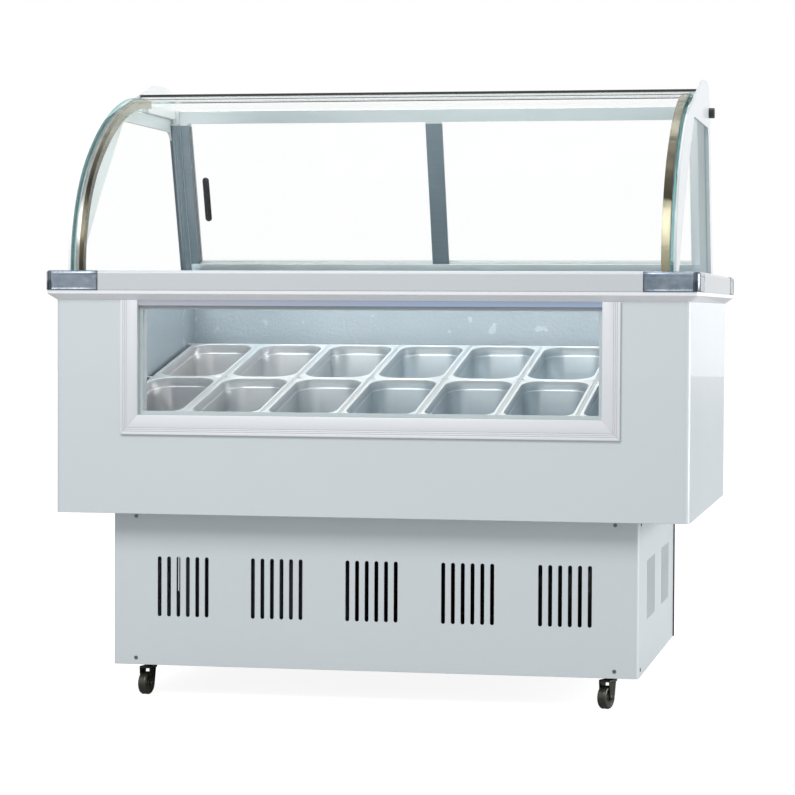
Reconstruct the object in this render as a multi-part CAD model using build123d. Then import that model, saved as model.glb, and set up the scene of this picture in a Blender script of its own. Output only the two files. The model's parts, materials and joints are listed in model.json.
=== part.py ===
from build123d import *
import os
from math import asin, cos, radians, sin, tan

# Curved-glass ice-cream display freezer. Millimetres, +Z up, front towards -Y.
# The origin is on the floor, under the centre of the counter.

# ---- Counter --------------------------------------------------------------
counter_width = 1400.0          # outer width of the corner caps
counter_depth = 980.0           # outer depth of the corner caps
counter_top = 922.0             # height of the counter above the floor
band_height = 42.0              # upright face of the counter
band_recess = 1.0               # bands sit this far inside the caps
cap_leg = 117.0                 # length of each leg of a corner cap
cap_corner_radius = 15.0
edge_radius = 8.0               # rounded top edge of bands and caps
lip_height = 21.0               # tapered moulding under the band
lip_straight = 8.0              # upright part of that moulding
lip_recess = 2.0

# ---- Insulated body -------------------------------------------------------
body_side_inset = 20.0          # body side behind the counter's end
body_front_inset = 18.0
body_rear_inset = 15.0
body_bottom = 402.0
body_corner_radius = 12.0
wall = 70.0                     # outer face to the liner's inner face
sheet = 1.5                     # painted and stainless sheet
corner_return = 25.0            # how far a wrapped sheet runs round the corner
evaporator_thickness = 1.5
evaporator_margin = 100.0       # from the liner's floor edges to the plate

# ---- Front window ---------------------------------------------------------
window_width = 996.0            # between the frame's inner faces
window_bottom = 614.0
window_top_strip = 12.0
frame_side_face = 38.0          # visible width of the frame's sides
frame_bottom_face = 42.0
frame_proud = 6.0
frame_step = 3.0                # low outer step of the frame's face
frame_step_width = 9.0
jamb = 12.0                     # frame profile inside the wall
pane = 4.0
pane_gap = 12.0
pane_setback = 6.0              # outer pane behind the body's front face
spacer_width = 8.0

# ---- Pans -----------------------------------------------------------------
pan_columns = 7
pan_width = 165.0
pan_length = 360.0
pan_depth = 120.0
pan_pitch = 172.0
pan_row_gap = 2.0
pan_tilt = 11.4                 # degrees, back edge up
pan_row_height = 685.0          # rim height where the two rows meet
pan_row_y = -10.0
pan_corner_radius = 55.0
pan_rim_corner = 10.0           # outer corners of the flat rim
pan_wall = 1.0
pan_rim_width = 6.5
pan_step_depth = 22.0
pan_step_width = 3.0
pan_foot_radius = 14.0
rail_thickness = 4.0
rail_width = 14.0
seat_gap = 0.2                  # rims lie this far above the rails

# ---- Canopy ---------------------------------------------------------------
canopy_half_width = 644.0
canopy_front_setback = 8.0      # glass behind the counter's front
canopy_gap = 0.5                # closed glass above the counter
canopy_height = 407.0           # counter to the outer top of the glass
canopy_front_radius = 330.0
hinge_y = 50.0
canopy_glass = 6.0
arch_section = 18.0
arch_wall = 2.0
arch_inset = 8.0                # arch tube in from the glass's end
hinge_bar_depth = 12.0
hinge_bar_height = 16.0
hinge_bar_rise = 3.0            # middle of the bar above the hinge line
hinge_pin_radius = 2.5
hinge_pin_length = 12.0
pin_clearance = 0.05
top_glass_front_gap = 2.5
top_glass_drop = 6.0            # flat glass below the bent glass's top
side_glass = 5.0
side_glass_inset = 1.0          # from the bent glass's end to the side glass
side_glass_gap = 1.0            # under the bent glass

# ---- End brackets ---------------------------------------------------------
bracket_gap = 1.0               # from the glass's end to the bracket
bracket_plate_thickness = 5.0
leg_width = 27.0
leg_depth = 50.0
rear_lean = 18.0                # degrees, top forward
rear_foot_y = 420.0             # front of the rear leg at the counter
front_foot_depth = 62.0
ledge_width = 15.0
ledge_height = 20.0
ledge_front_gap = 10.0          # from the hinge to the ledge
window_corner_radius = 40.0
crown_height = 43.0             # crown above the top of the bent glass
crown_radii = (140.0, 80.0)      # front shoulder and rear shoulder
crown_front = 90.0              # front of the crown behind the hinge
crown_fall = 6.0
crown_join = 0.35               # share of the upper arc below the crown
knob_radius = 12.0
knob_length = 13.0
stud_radius = 4.0
stud_length = 20.0
knob_drop = 23.0                # knob below the leg's top

# ---- Rear frame and doors -------------------------------------------------
sill_height = 29.4              # along the lean
rail_height = 33.0
frame_front = 4.0               # frame behind the legs' front face
frame_depth = 36.0
jamb_width = 20.0
post_width = 40.0
post_thickness = 6.0
door_glass = 5.0
track_width = 6.0
track_pitch = 12.0
track_setback = 6.0             # first track behind the frame's front
sill_groove = 8.0
rail_groove = 14.0
jamb_groove = 10.0
door_overlap = 30.0
door_clearance = 0.3
door_rail_engagement = 10.0

# ---- Base -----------------------------------------------------------------
base_width = 1140.0
base_front_setback = 66.0       # base front behind the body's front
base_rear_setback = 90.0
caster_height = 70.0
base_corner_radius = 6.0
floor_thickness = 2.0
post_leg = 30.0
slot_width = 8.5
slot_height = 130.0
slot_centre = 240.5
front_slot_pitch = 21.0
front_slots = 6
front_groups = 5
front_group_pitch = 207.5
side_slot_pitch = 22.0
side_slots = 8
side_groups = (-150.0, 168.0)
louvre_width = 440.0
louvre_height = 6.0
louvre_pitch = 14.0
louvre_rows = 8
screw_radius = 4.0
screw_head = 1.5
screw_x = 520.0
screw_inset_top = 10.0
screw_inset_bottom = 15.0

# ---- Condensing unit ------------------------------------------------------
condenser_size = (360.0, 50.0, 240.0)
condenser_x = -240.0
condenser_front_gap = 20.0
fin_pitch = 12.0
fin_groove = 8.0
shroud_thickness = 2.0
shroud_collar = 30.0
fan_radius = 100.0
fan_tip_gap = 8.0
fan_blades = 5
fan_hub_radius = 25.0
fan_hub_length = 24.0
fan_start_gap = 6.0             # shroud plate to the rotor
motor_radius = 36.0
motor_length = 66.0
motor_gap = 4.0
shaft_radius = 4.0
motor_foot = 40.0
compressor_radius = 85.0
compressor_height = 190.0
compressor_x = 330.0
compressor_y = 60.0
compressor_feet_height = 15.0
compressor_foot_radius = 12.0
compressor_plate = 4.0
pipe_radius = 5.0
pipe_clearance = 0.3
pipe_bend = 30.0
discharge_height = 80.0         # of the discharge pipe above the base floor
discharge_x = 190.0

# ---- Controls -------------------------------------------------------------
control_size = (160.0, 80.0, 90.0)
control_x = 380.0
control_z = 330.0
control_clearance = 0.3
dial_radius = 18.0
dial_length = 14.0
dial_gap = 0.4
dial_shaft_radius = 3.0
dial_shaft_length = 10.0
dial_offset = -40.0
switch_width = 12.0
switch_height = 18.0
switch_depth = 7.0
switch_proud = 3.0
switch_clearance = 1.6
switch_pin_radius = 1.2
switch_pin_length = 2.0
switch_offset = 10.0
gland_radius = 10.0
gland_length = 14.0
gland_offset = 55.0

# ---- Casters --------------------------------------------------------------
caster_x = 505.0
caster_inset = 60.0             # from the base's front and rear faces
caster_plate_size = 60.0
caster_plate = 2.5
wheel_radius = 25.0
wheel_width = 20.0
wheel_edge = 3.0
axle_radius = 4.0
trail = 20.0
fork_wall = 2.5
fork_gap = 0.6                  # wheel to fork cheek
fork_crown = 5.0
kingpin_radius = 5.0
kingpin_head_radius = 8.0
kingpin_head = 2.0
caster_yaws = (80.0, 70.0, 95.0, 60.0)   # degrees, way each caster trails

# ---- Derived --------------------------------------------------------------
half_width = counter_width / 2
half_depth = counter_depth / 2
band_bottom = counter_top - band_height
body_top = band_bottom - lip_height
body_x = half_width - body_side_inset
body_front = -half_depth + body_front_inset
body_rear = half_depth - body_rear_inset
well_x = body_x - wall
well_front = body_front + wall
well_rear = body_rear - wall
well_floor = body_bottom + wall
base_x = base_width / 2
base_front = body_front + base_front_setback
base_rear = body_rear - base_rear_setback
base_floor_top = caster_height + floor_thickness

glass_front_y = -half_depth + canopy_front_setback
glass_bottom_z = counter_top + canopy_gap
glass_top_z = counter_top + canopy_height
rise = glass_top_z - glass_bottom_z
reach = hinge_y - glass_front_y
over_y = reach - canopy_front_radius
over_z = rise - canopy_front_radius
radius_step = (over_y ** 2 + over_z ** 2) / (2 * over_z)
canopy_top_radius = canopy_front_radius + radius_step
arc_turn = asin(1 - over_z / radius_step)
front_centre = (glass_front_y + canopy_front_radius, glass_bottom_z)
top_centre = (hinge_y, glass_top_z - canopy_top_radius)
hinge_z = glass_top_z - canopy_glass / 2
bracket_x = canopy_half_width + bracket_gap
leg_x = bracket_x + bracket_plate_thickness - leg_width
top_glass_z = glass_top_z - top_glass_drop - canopy_glass
lean = radians(rear_lean)
jamb_x = leg_x - jamb_width
frame_rear = frame_front + frame_depth
rail_start = (top_glass_z - counter_top) / cos(lean) - rail_height


def write(name, shape):
    export_step(Part(children=list(shape)) if isinstance(shape, (list, tuple)) else shape,
                f"parts/{name}.step")


def block(x0, x1, y0, y1, z0, z1):
    """Axis-aligned box between two opposite corners."""
    centre = ((x0 + x1) / 2, (y0 + y1) / 2, (z0 + z1) / 2)
    return Pos(*centre) * Box(x1 - x0, y1 - y0, z1 - z0)


def plate_between(x0, x1, y0, y1, z0, z1, radius):
    """Upright block whose four vertical edges are rounded."""
    outline = Pos((x0 + x1) / 2, (y0 + y1) / 2, z0) * RectangleRounded(x1 - x0, y1 - y0, radius)
    return extrude(outline, z1 - z0)


def along_x(outline, x0, x1):
    """Outline drawn as (y, z), extruded from x0 to x1."""
    return Pos(x0, 0, 0) * extrude(Plane.YZ * outline, x1 - x0, dir=(1, 0, 0))


def along_y(outline, y0, y1):
    """Outline drawn as (x, z), extruded from y0 to y1."""
    return Pos(0, y0, 0) * extrude(Plane.XZ * outline, y1 - y0, dir=(0, 1, 0))


def upright_slot(x, z, y0, y1):
    """Cutter for a round-ended upright slot through a front or rear sheet."""
    return along_y(Pos(x, z) * SlotOverall(slot_height, slot_width, rotation=90), y0, y1)


def side_slot(y, z, x0, x1):
    return along_x(Pos(y, z) * SlotOverall(slot_height, slot_width, rotation=90), x0, x1)


def mirrored(shape):
    """The piece and its mirror image across the centre plane."""
    return [shape, mirror(shape, about=Plane.YZ)]


# ---- Body -----------------------------------------------------------------
def body_wrap():
    """Closed ring of sheet around the body, later cut into its panels."""
    outer = plate_between(-body_x, body_x, body_front, body_rear, body_bottom, body_top,
                          body_corner_radius)
    inner = plate_between(-body_x + sheet, body_x - sheet, body_front + sheet, body_rear - sheet,
                          body_bottom, body_top, body_corner_radius - sheet)
    return outer - inner


def window_hole(y0, y1):
    x = window_width / 2 + jamb
    return block(-x, x, y0, y1, window_bottom - jamb, body_top)


def build_body():
    wrap = body_wrap()
    wide = half_width * 2
    front_cut = body_front + body_corner_radius + corner_return
    rear_cut = body_rear - body_corner_radius - corner_return
    front = wrap & block(-wide, wide, body_front, front_cut, 0, counter_top)
    front -= window_hole(body_front, front_cut)
    write("front_panel", front)
    side = wrap & block(0, wide, front_cut, rear_cut, 0, counter_top)
    rear = wrap & block(-wide, wide, rear_cut, body_rear, 0, counter_top)
    bottom = plate_between(-body_x + sheet, body_x - sheet, body_front + sheet,
                           body_rear - sheet, body_bottom, body_bottom + sheet,
                           body_corner_radius - sheet)
    for hole in circuit_holes():
        bottom -= hole
    write("body_panels", mirrored(side) + [rear, bottom])


def liner_shell():
    x, floor = well_x + sheet, well_floor - sheet
    outer = block(-x, x, well_front - sheet, well_rear + sheet, floor, body_top)
    return outer, block(-well_x, well_x, well_front, well_rear, well_floor, body_top)


def evaporator():
    x = well_x - evaporator_margin
    top = well_floor - sheet
    return block(-x, x, well_front + evaporator_margin, well_rear - evaporator_margin,
                 top - evaporator_thickness, top)


def circuit_points():
    """Where the suction and liquid pipes rise through the body's floor."""
    condenser_y = base_front + condenser_front_gap + condenser_size[1] / 2
    feed_x = condenser_x + condenser_size[0] / 2 - 2 * pipe_radius
    suction_start = base_floor_top + compressor_feet_height + compressor_plate + compressor_height
    liquid_start = base_floor_top + condenser_size[2]
    feed_y = max(condenser_y, well_front + evaporator_margin + 2 * pipe_radius)
    return ((compressor_x, compressor_y, suction_start), (feed_x, feed_y, liquid_start))


def circuit_holes():
    hole = pipe_radius + pipe_clearance
    top = well_floor - sheet - evaporator_thickness
    height = top - body_bottom
    return [Pos(x, y, body_bottom + height / 2) * Cylinder(hole, height)
            for x, y, _ in circuit_points()]


def build_insulation():
    foam = plate_between(-body_x + sheet, body_x - sheet, body_front + sheet, body_rear - sheet,
                         body_bottom + sheet, body_top, body_corner_radius - sheet)
    foam -= liner_shell()[0]
    foam -= window_hole(body_front, well_front)
    foam -= evaporator()
    for hole in circuit_holes():
        foam -= hole
    write("insulation", foam)
    outer, inner = liner_shell()
    liner = outer - inner - window_hole(body_front, well_front)
    write("liner", liner)


# ---- Counter --------------------------------------------------------------
def counter_ring(recess):
    """Solid ring of the counter's section, its outer edge in by recess."""
    x, y = half_width - recess, half_depth - recess
    ring = plate_between(-x, x, -y, y, band_bottom, counter_top, cap_corner_radius - recess)
    rim = ring.faces().sort_by(Axis.Z)[-1].edges()
    ring = fillet(rim, edge_radius - recess)
    return ring - block(-well_x, well_x, well_front, well_rear, band_bottom, counter_top)


def build_counter():
    caps, bands = counter_ring(0), counter_ring(band_recess)
    inner_x, inner_y = half_width - cap_leg, half_depth - cap_leg
    low, high = band_bottom, counter_top
    right_front = block(inner_x, half_width, -half_depth, -inner_y, low, high)
    right_rear = block(inner_x, half_width, inner_y, half_depth, low, high)
    write("corner_caps_front", mirrored(caps & right_front))
    write("corner_caps_rear", mirrored(caps & right_rear))
    front = bands & block(-inner_x, inner_x, -half_depth, 0, low, high)
    rear = bands & block(-inner_x, inner_x, 0, half_depth, low, high)
    side = bands & block(0, half_width, -inner_y, inner_y, low, high)
    write("counter_bands", [front, rear] + mirrored(side))


def build_lip():
    x, y = half_width - lip_recess, half_depth - lip_recess
    radius = cap_corner_radius - lip_recess
    shoulder = band_bottom - lip_straight
    lip = plate_between(-x, x, -y, y, shoulder, band_bottom, radius)
    middle = (body_front + body_rear) / 2
    foot = Pos(0, middle, body_top) * RectangleRounded(2 * body_x, body_rear - body_front,
                                                       body_corner_radius)
    head = Pos(0, 0, shoulder) * RectangleRounded(2 * x, 2 * y, radius)
    lip += loft([foot, head])
    write("counter_lip", lip - block(-well_x, well_x, well_front, well_rear, body_top, band_bottom))


# ---- Window ---------------------------------------------------------------
def frame_section(face_width):
    """Frame profile: u runs outwards from the window, w runs out of the body's front."""
    outer = face_width
    step = outer - frame_step_width
    return Polyline((0, -wall), (jamb, -wall), (jamb, 0), (outer, 0), (outer, frame_step),
                    (step, frame_step), (step, frame_proud), (jamb / 2, frame_proud),
                    (0, frame_proud - frame_step), close=True)


def build_window():
    half = window_width / 2
    upright = make_face(Plane(origin=(half, body_front, 0), x_dir=(1, 0, 0), z_dir=(0, 0, -1))
                        * frame_section(frame_side_face))
    low = window_bottom - frame_bottom_face
    upright = Pos(0, 0, body_top) * extrude(upright, body_top - low, dir=(0, 0, -1))
    sill = make_face(Plane(origin=(0, body_front, window_bottom), x_dir=(0, 0, -1),
                           z_dir=(-1, 0, 0)) * frame_section(frame_bottom_face))
    length = half + frame_side_face
    sill = extrude(sill, length, both=True)
    deep = wall + frame_proud
    below = make_face(Polyline((half, window_bottom), (half + jamb, window_bottom - jamb),
                               (half + frame_side_face, low), (0, low), (0, window_bottom),
                               close=True))
    below = along_y(below, body_front - deep, body_front + deep)
    below += mirror(below, about=Plane.YZ)
    beyond = upright - block(0, half + jamb, body_front - deep, body_front + deep, 0, low)
    write("window_frame_bottom", sill & below)
    write("window_frame_sides", mirrored(beyond - below))


def build_glazing():
    half, top = window_width / 2, body_top - window_top_strip
    outer_y = body_front + pane_setback
    inner_y = outer_y + pane + pane_gap
    outer = block(-half, half, outer_y, outer_y + pane, window_bottom, top)
    inner = block(-half, half, inner_y, inner_y + pane, window_bottom, top)
    write("window_panes", [outer, inner])
    ring = block(-half, half, outer_y + pane, inner_y, window_bottom, top)
    ring -= block(-half + spacer_width, half - spacer_width, outer_y, inner_y,
                  window_bottom + spacer_width, top - spacer_width)
    strip = block(-half, half, body_front, well_front, top, body_top)
    write("window_spacer", [ring, strip])


# ---- Pans -----------------------------------------------------------------
def pan_plane(column, row):
    """Local frame of a pan: its rim's centre, tilted with the back edge up."""
    tilt = radians(pan_tilt)
    along = (row - 0.5) * (pan_length + pan_row_gap)
    x = (column - (pan_columns - 1) / 2) * pan_pitch
    origin = (x, pan_row_y + along * cos(tilt), pan_row_height + along * sin(tilt))
    return Plane(origin=origin, x_dir=(1, 0, 0), z_dir=(0, -sin(tilt), cos(tilt)))


def pan_body(shrink):
    """Stepped tub below the rim, smaller by shrink on every side."""
    width, length = pan_width - 2 * pan_rim_width, pan_length - 2 * pan_rim_width
    radius = pan_corner_radius - pan_rim_width - shrink
    upper = RectangleRounded(width - 2 * shrink, length - 2 * shrink, radius)
    inset = 2 * (shrink + pan_step_width)
    lower = RectangleRounded(width - inset, length - inset, radius - pan_step_width)
    tub = extrude(lower, -(pan_depth - shrink))
    foot = tub.faces().sort_by(Axis.Z)[0].edges()
    return fillet(foot, pan_foot_radius - shrink) + extrude(upper, -(pan_step_depth - shrink))


def pan():
    rim = Pos(0, 0, -pan_wall) * extrude(
        RectangleRounded(pan_width, pan_length, pan_rim_corner), pan_wall)
    return rim + pan_body(0) - pan_body(pan_wall)


def build_pans():
    shape = pan()
    for row, row_name in enumerate(("front", "rear")):
        for column in range(pan_columns):
            write(f"pan_{row_name}_{column + 1}", pan_plane(column, row).location * shape)


def build_rails():
    """Bars across the well, under the rims at the front, the middle and the back."""
    tilt = radians(pan_tilt)
    middle = Plane(origin=(0, pan_row_y, pan_row_height), x_dir=(1, 0, 0),
                   z_dir=(0, -sin(tilt), cos(tilt)))
    end = pan_length + pan_row_gap / 2
    under_rim = pan_rim_width - 1.0
    rails = []
    spans = ((-end - rail_width + under_rim, -end + under_rim),
             (-under_rim, under_rim), (end - under_rim, end - under_rim + rail_width))
    top = -pan_wall - seat_gap
    for low, high in spans:
        bar = block(-well_x, well_x, low, high, top - rail_thickness, top)
        rails.append(middle.location * bar)
    write("pan_rails", rails)


# ---- Canopy ---------------------------------------------------------------
def arch_path(offset):
    """Two tangent arcs of the bent glass, offset inwards, as points in the YZ plane."""
    small, large = canopy_front_radius - offset, canopy_top_radius - offset

    def on(centre, radius, turn):
        return (centre[0] - radius * cos(turn), centre[1] + radius * sin(turn))

    quarter = radians(90)
    start = on(front_centre, small, 0)
    join = on(front_centre, small, arc_turn)
    end = on(top_centre, large, quarter)
    lower = ThreePointArc(start, on(front_centre, small, arc_turn / 2), join)
    upper = ThreePointArc(join, on(top_centre, large, (arc_turn + quarter) / 2), end)
    return start, [lower, upper], end


def arch_band(outer, inner, x0, x1):
    """Curved strip between two offsets of the glass's outer face."""
    start_a, arcs_a, end_a = arch_path(outer)
    start_b, arcs_b, end_b = arch_path(inner)
    outline = make_face(arcs_a + [Line(end_a, end_b)] + arcs_b + [Line(start_b, start_a)])
    return along_x(outline, x0, x1)


def arch_area(offset, bottom, x0, x1):
    """Everything under the arch, back to the counter's rear edge."""
    start, arcs, end = arch_path(offset)
    foot = (start[0], bottom)
    outline = make_face([Line(foot, start)] + arcs
                        + [Polyline(end, (half_depth, end[1]), (half_depth, bottom), foot)])
    return along_x(outline, x0, x1)


def build_canopy():
    x = canopy_half_width
    back = block(-x, x, hinge_y - hinge_bar_depth / 2, half_depth, counter_top, 2 * counter_top)
    write("canopy_glass", arch_band(0, canopy_glass, -x, x) - back)
    near, far = x - arch_inset - arch_section, x - arch_inset
    tube = arch_band(canopy_glass, canopy_glass + arch_section, near, far)
    tube -= arch_band(canopy_glass + arch_wall, canopy_glass + arch_section - arch_wall,
                      near + arch_wall, far - arch_wall)
    write("arch_tubes", mirrored(tube - back))
    bar = Pos(0, hinge_y, hinge_z + hinge_bar_rise) * Box(2 * x, hinge_bar_depth, hinge_bar_height)
    bore = Pos(x - hinge_pin_length / 2, hinge_y, hinge_z) * Rot(0, 90, 0) * Cylinder(
        hinge_pin_radius + pin_clearance, hinge_pin_length + 2)
    for hole in mirrored(bore):
        bar -= hole
    write("canopy_hinge_bar", bar)


def build_fixed_glass():
    x = canopy_half_width
    front = hinge_y + hinge_bar_depth / 2 + top_glass_front_gap
    back = rear_point(rail_start, frame_rear)[0]
    write("top_glass", block(-x, x, front, back, top_glass_z, top_glass_z + canopy_glass))
    far = x - side_glass_inset
    pane_side = arch_area(canopy_glass + side_glass_gap, counter_top, far - side_glass, far)
    pane_side &= block(0, far, -half_depth, half_depth, counter_top, top_glass_z - ledge_height)
    pane_side -= rear_prism(-leg_depth, top_glass_z, -side_glass_gap, 4 * leg_depth, 0, far)
    write("side_glass", mirrored(pane_side))


# ---- Rear frame -----------------------------------------------------------
def rear_point(v, w):
    """YZ point at v up the lean and w behind the rear legs' front face."""
    return (rear_foot_y - v * sin(lean) + w * cos(lean), counter_top + v * cos(lean) + w * sin(lean))


def rear_prism(v0, v1, w0, w1, x0, x1):
    points = [rear_point(v0, w0), rear_point(v1, w0), rear_point(v1, w1), rear_point(v0, w1)]
    return along_x(make_face(Polyline(*points, close=True)), x0, x1)


def between_heights(shape, low, high):
    wide = half_width * 2
    return shape & block(-wide, wide, -wide, wide, low, high)


def track_span(index):
    low = frame_front + track_setback + index * track_pitch
    return low, low + track_width


def bracket_plate(low, high):
    """Plate that follows the arch, then rises to the crown and falls to the rear foot."""
    start, (lower, upper), _ = arch_path(0)
    foot = (start[0], counter_top)
    upper = upper.trim(0, crown_join)
    join = upper @ 1
    crown = glass_top_z + crown_height
    rear_rise = (crown - counter_top - leg_depth * sin(lean)) / cos(lean)
    crest = FilletPolyline((join.X, join.Y), (hinge_y + crown_front, crown - crown_fall),
                           rear_point(rear_rise, leg_depth),
                           rear_point(-leg_depth * tan(lean), leg_depth), radius=list(crown_radii))
    base = Line(crest @ 1, foot)
    return along_x(make_face([Line(foot, start), lower, upper, crest, base]), low, high)


def build_brackets():
    """White plate with a crown, a rear leg and a ledge for the flat glass."""
    low, high = bracket_x, bracket_x + bracket_plate_thickness
    plate = bracket_plate(low, high)
    plate -= bracket_window(low, high)
    leg = between_heights(rear_prism(-leg_depth, 2 * half_depth, 0, leg_depth, leg_x, high),
                          counter_top, top_glass_z)
    ledge_back = rear_point((top_glass_z - counter_top) / cos(lean), 0)[0]
    ledge = block(low - ledge_width, low, hinge_y + ledge_front_gap, ledge_back + leg_depth / 2,
                  top_glass_z - ledge_height, top_glass_z)
    pin = Pos(low - hinge_pin_length / 2, hinge_y, hinge_z) * Rot(0, 90, 0) * Cylinder(
        hinge_pin_radius, hinge_pin_length)
    bracket = plate + leg + ledge + pin
    bracket -= knob_stud(stud_radius + pin_clearance, stud_length + 1)
    write("end_brackets", mirrored(bracket))
    grip = Pos(high + knob_length / 2, *knob_place()) * Rot(0, 90, 0) * Cylinder(
        knob_radius, knob_length)
    grip = fillet(grip.edges().sort_by(Axis.X)[-1], knob_length / 6)
    write("clamp_knobs", mirrored(grip + knob_stud(stud_radius, stud_length)))


def bracket_window(low, high):
    """Opening between the front and rear legs."""
    front = glass_front_y + front_foot_depth
    sill_z = top_glass_z - ledge_height - 30.0
    mid_z = (counter_top + sill_z) / 2
    mid_y = front_centre[0] - sqrt_side(canopy_front_radius - front_foot_depth * 2, mid_z)
    rear_low = rear_point(-leg_depth, 0)
    rear_high = rear_point((sill_z - counter_top) / cos(lean), 0)
    outline = Polyline((front, counter_top - leg_depth), (front, counter_top), (mid_y, mid_z),
                       (hinge_y - 140.0, sill_z), rear_high, rear_low, close=True)
    hole = along_x(make_face(outline), low, high)
    corners = hole.edges().filter_by(Axis.X).sort_by(Axis.Z)[-3:]
    return fillet(corners, window_corner_radius)


def sqrt_side(radius, z):
    return (radius ** 2 - (z - glass_bottom_z) ** 2) ** 0.5


def knob_place():
    v = (top_glass_z - counter_top) / cos(lean) - knob_drop
    return rear_point(v, leg_depth / 2)


def knob_stud(radius, length):
    high = bracket_x + bracket_plate_thickness
    return Pos(high - length / 2, *knob_place()) * Rot(0, 90, 0) * Cylinder(radius, length)


def build_rear_frame():
    sill = rear_prism(-leg_depth, sill_height, frame_front, frame_rear, -leg_x, leg_x)
    sill = between_heights(sill, counter_top, glass_top_z)
    rail = rear_prism(rail_start, 2 * half_depth, frame_front, frame_rear, -leg_x, leg_x)
    rail = between_heights(rail, counter_top, top_glass_z)
    jamb_piece = rear_prism(sill_height, rail_start, frame_front, frame_rear, jamb_x, leg_x)
    for index in range(2):
        w0, w1 = track_span(index)
        sill -= rear_prism(sill_height - sill_groove, sill_height, w0, w1, -leg_x, leg_x)
        rail -= rear_prism(rail_start, rail_start + rail_groove, w0, w1, -leg_x, leg_x)
        jamb_piece -= rear_prism(sill_height, rail_start, w0, w1, jamb_x, jamb_x + jamb_groove)
    post = rear_prism(sill_height, rail_start, frame_front, frame_front + post_thickness,
                      -post_width / 2, post_width / 2)
    write("rear_sill", sill)
    write("rear_frame", [rail, post] + mirrored(jamb_piece))


def build_doors():
    low = sill_height - sill_groove + door_clearance
    high = rail_start + door_rail_engagement
    far = jamb_x + jamb_groove - door_clearance
    side_gap = (track_width - door_glass) / 2
    for index, name, x0, x1 in ((0, "left", -far, door_overlap / 2),
                                (1, "right", -door_overlap / 2, far)):
        w0, w1 = track_span(index)
        write(f"sliding_door_{name}", rear_prism(low, high, w0 + side_gap, w1 - side_gap, x0, x1))


# ---- Base -----------------------------------------------------------------
def base_wrap():
    outer = plate_between(-base_x, base_x, base_front, base_rear + base_corner_radius + 1,
                          caster_height, body_bottom, base_corner_radius)
    inner = plate_between(-base_x + sheet, base_x - sheet, base_front + sheet,
                          base_rear + base_corner_radius + 1, caster_height, body_bottom,
                          base_corner_radius - sheet)
    wide = half_width * 2
    return (outer - inner) & block(-wide, wide, -wide, base_rear, 0, body_bottom)


def build_base_panels():
    wrap = base_wrap()
    wide = half_width * 2
    cut = base_front + corner_return
    front = wrap & block(-wide, wide, base_front, cut, 0, body_bottom)
    for group in range(front_groups):
        for index in range(front_slots):
            x = (group - (front_groups - 1) / 2) * front_group_pitch
            x += (index - (front_slots - 1) / 2) * front_slot_pitch
            front -= upright_slot(x, slot_centre, base_front - 1, base_front + 5)
    write("base_front_panel", front)
    side = wrap & block(0, wide, cut, base_rear - sheet, 0, body_bottom)
    for group in side_groups:
        for index in range(side_slots):
            y = group + (index - (side_slots - 1) / 2) * side_slot_pitch
            side -= side_slot(y, slot_centre, base_x - 5, base_x + 1)
    write("base_side_panels", mirrored(side))


def build_base_frame():
    x, y0, y1 = base_x - sheet, base_front + sheet, base_rear - sheet
    floor = plate_between(-x, x, y0, y1, caster_height, base_floor_top,
                          base_corner_radius - sheet)
    bend = base_corner_radius
    post = block(x - post_leg, x - bend, y0, y0 + floor_thickness, base_floor_top, body_bottom)
    post += block(x - bend - floor_thickness, x - bend, y0, y0 + post_leg, base_floor_top,
                  body_bottom)
    middle = (y0 + y1) / 2
    rear_post = mirror(post, about=Plane(origin=(0, middle, 0), z_dir=(0, 1, 0)))
    write("base_frame", [floor] + mirrored(post) + mirrored(rear_post))


def build_rear_grille():
    grille = block(-base_x, base_x, base_rear - sheet, base_rear, caster_height, body_bottom)
    for row in range(louvre_rows):
        z = caster_height + 40.0 + row * louvre_pitch
        slot = block(-louvre_width / 2, louvre_width / 2, base_rear - sheet, base_rear,
                     z, z + louvre_height)
        for side in (-1, 1):
            grille -= Pos(side * (louvre_width / 2 + 30.0), 0, 0) * slot
    x0, x1, _, z0, z1 = control_bounds()
    gap = control_clearance
    grille -= block(x0 - gap, x1 + gap, base_rear - sheet, base_rear, z0 - gap, z1 + gap)
    write("base_rear_grille", grille)


def build_screws():
    heads = []
    low, high = caster_height + screw_inset_bottom, body_bottom - screw_inset_top
    for x in (-screw_x, screw_x):
        for z in (low, high):
            heads.append(Pos(x, base_front - screw_head / 2, z) * Rot(90, 0, 0)
                         * Cylinder(screw_radius, screw_head))
    for z in (low, high):
        y = base_front + corner_return + 4 * screw_radius
        head = Pos(base_x + screw_head / 2, y, z) * Rot(0, 90, 0) * Cylinder(screw_radius, screw_head)
        heads += mirrored(head)
    write("panel_screws", heads)


# ---- Condensing unit ------------------------------------------------------
def unit_depths():
    """Y of the condenser's front and back, the shroud's back and the rotor's start."""
    front = base_front + condenser_front_gap
    back = front + condenser_size[1]
    shroud = back + shroud_thickness
    return front, back, shroud, shroud + fan_start_gap


def fan_centre_z():
    return base_floor_top + condenser_size[2] / 2


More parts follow.
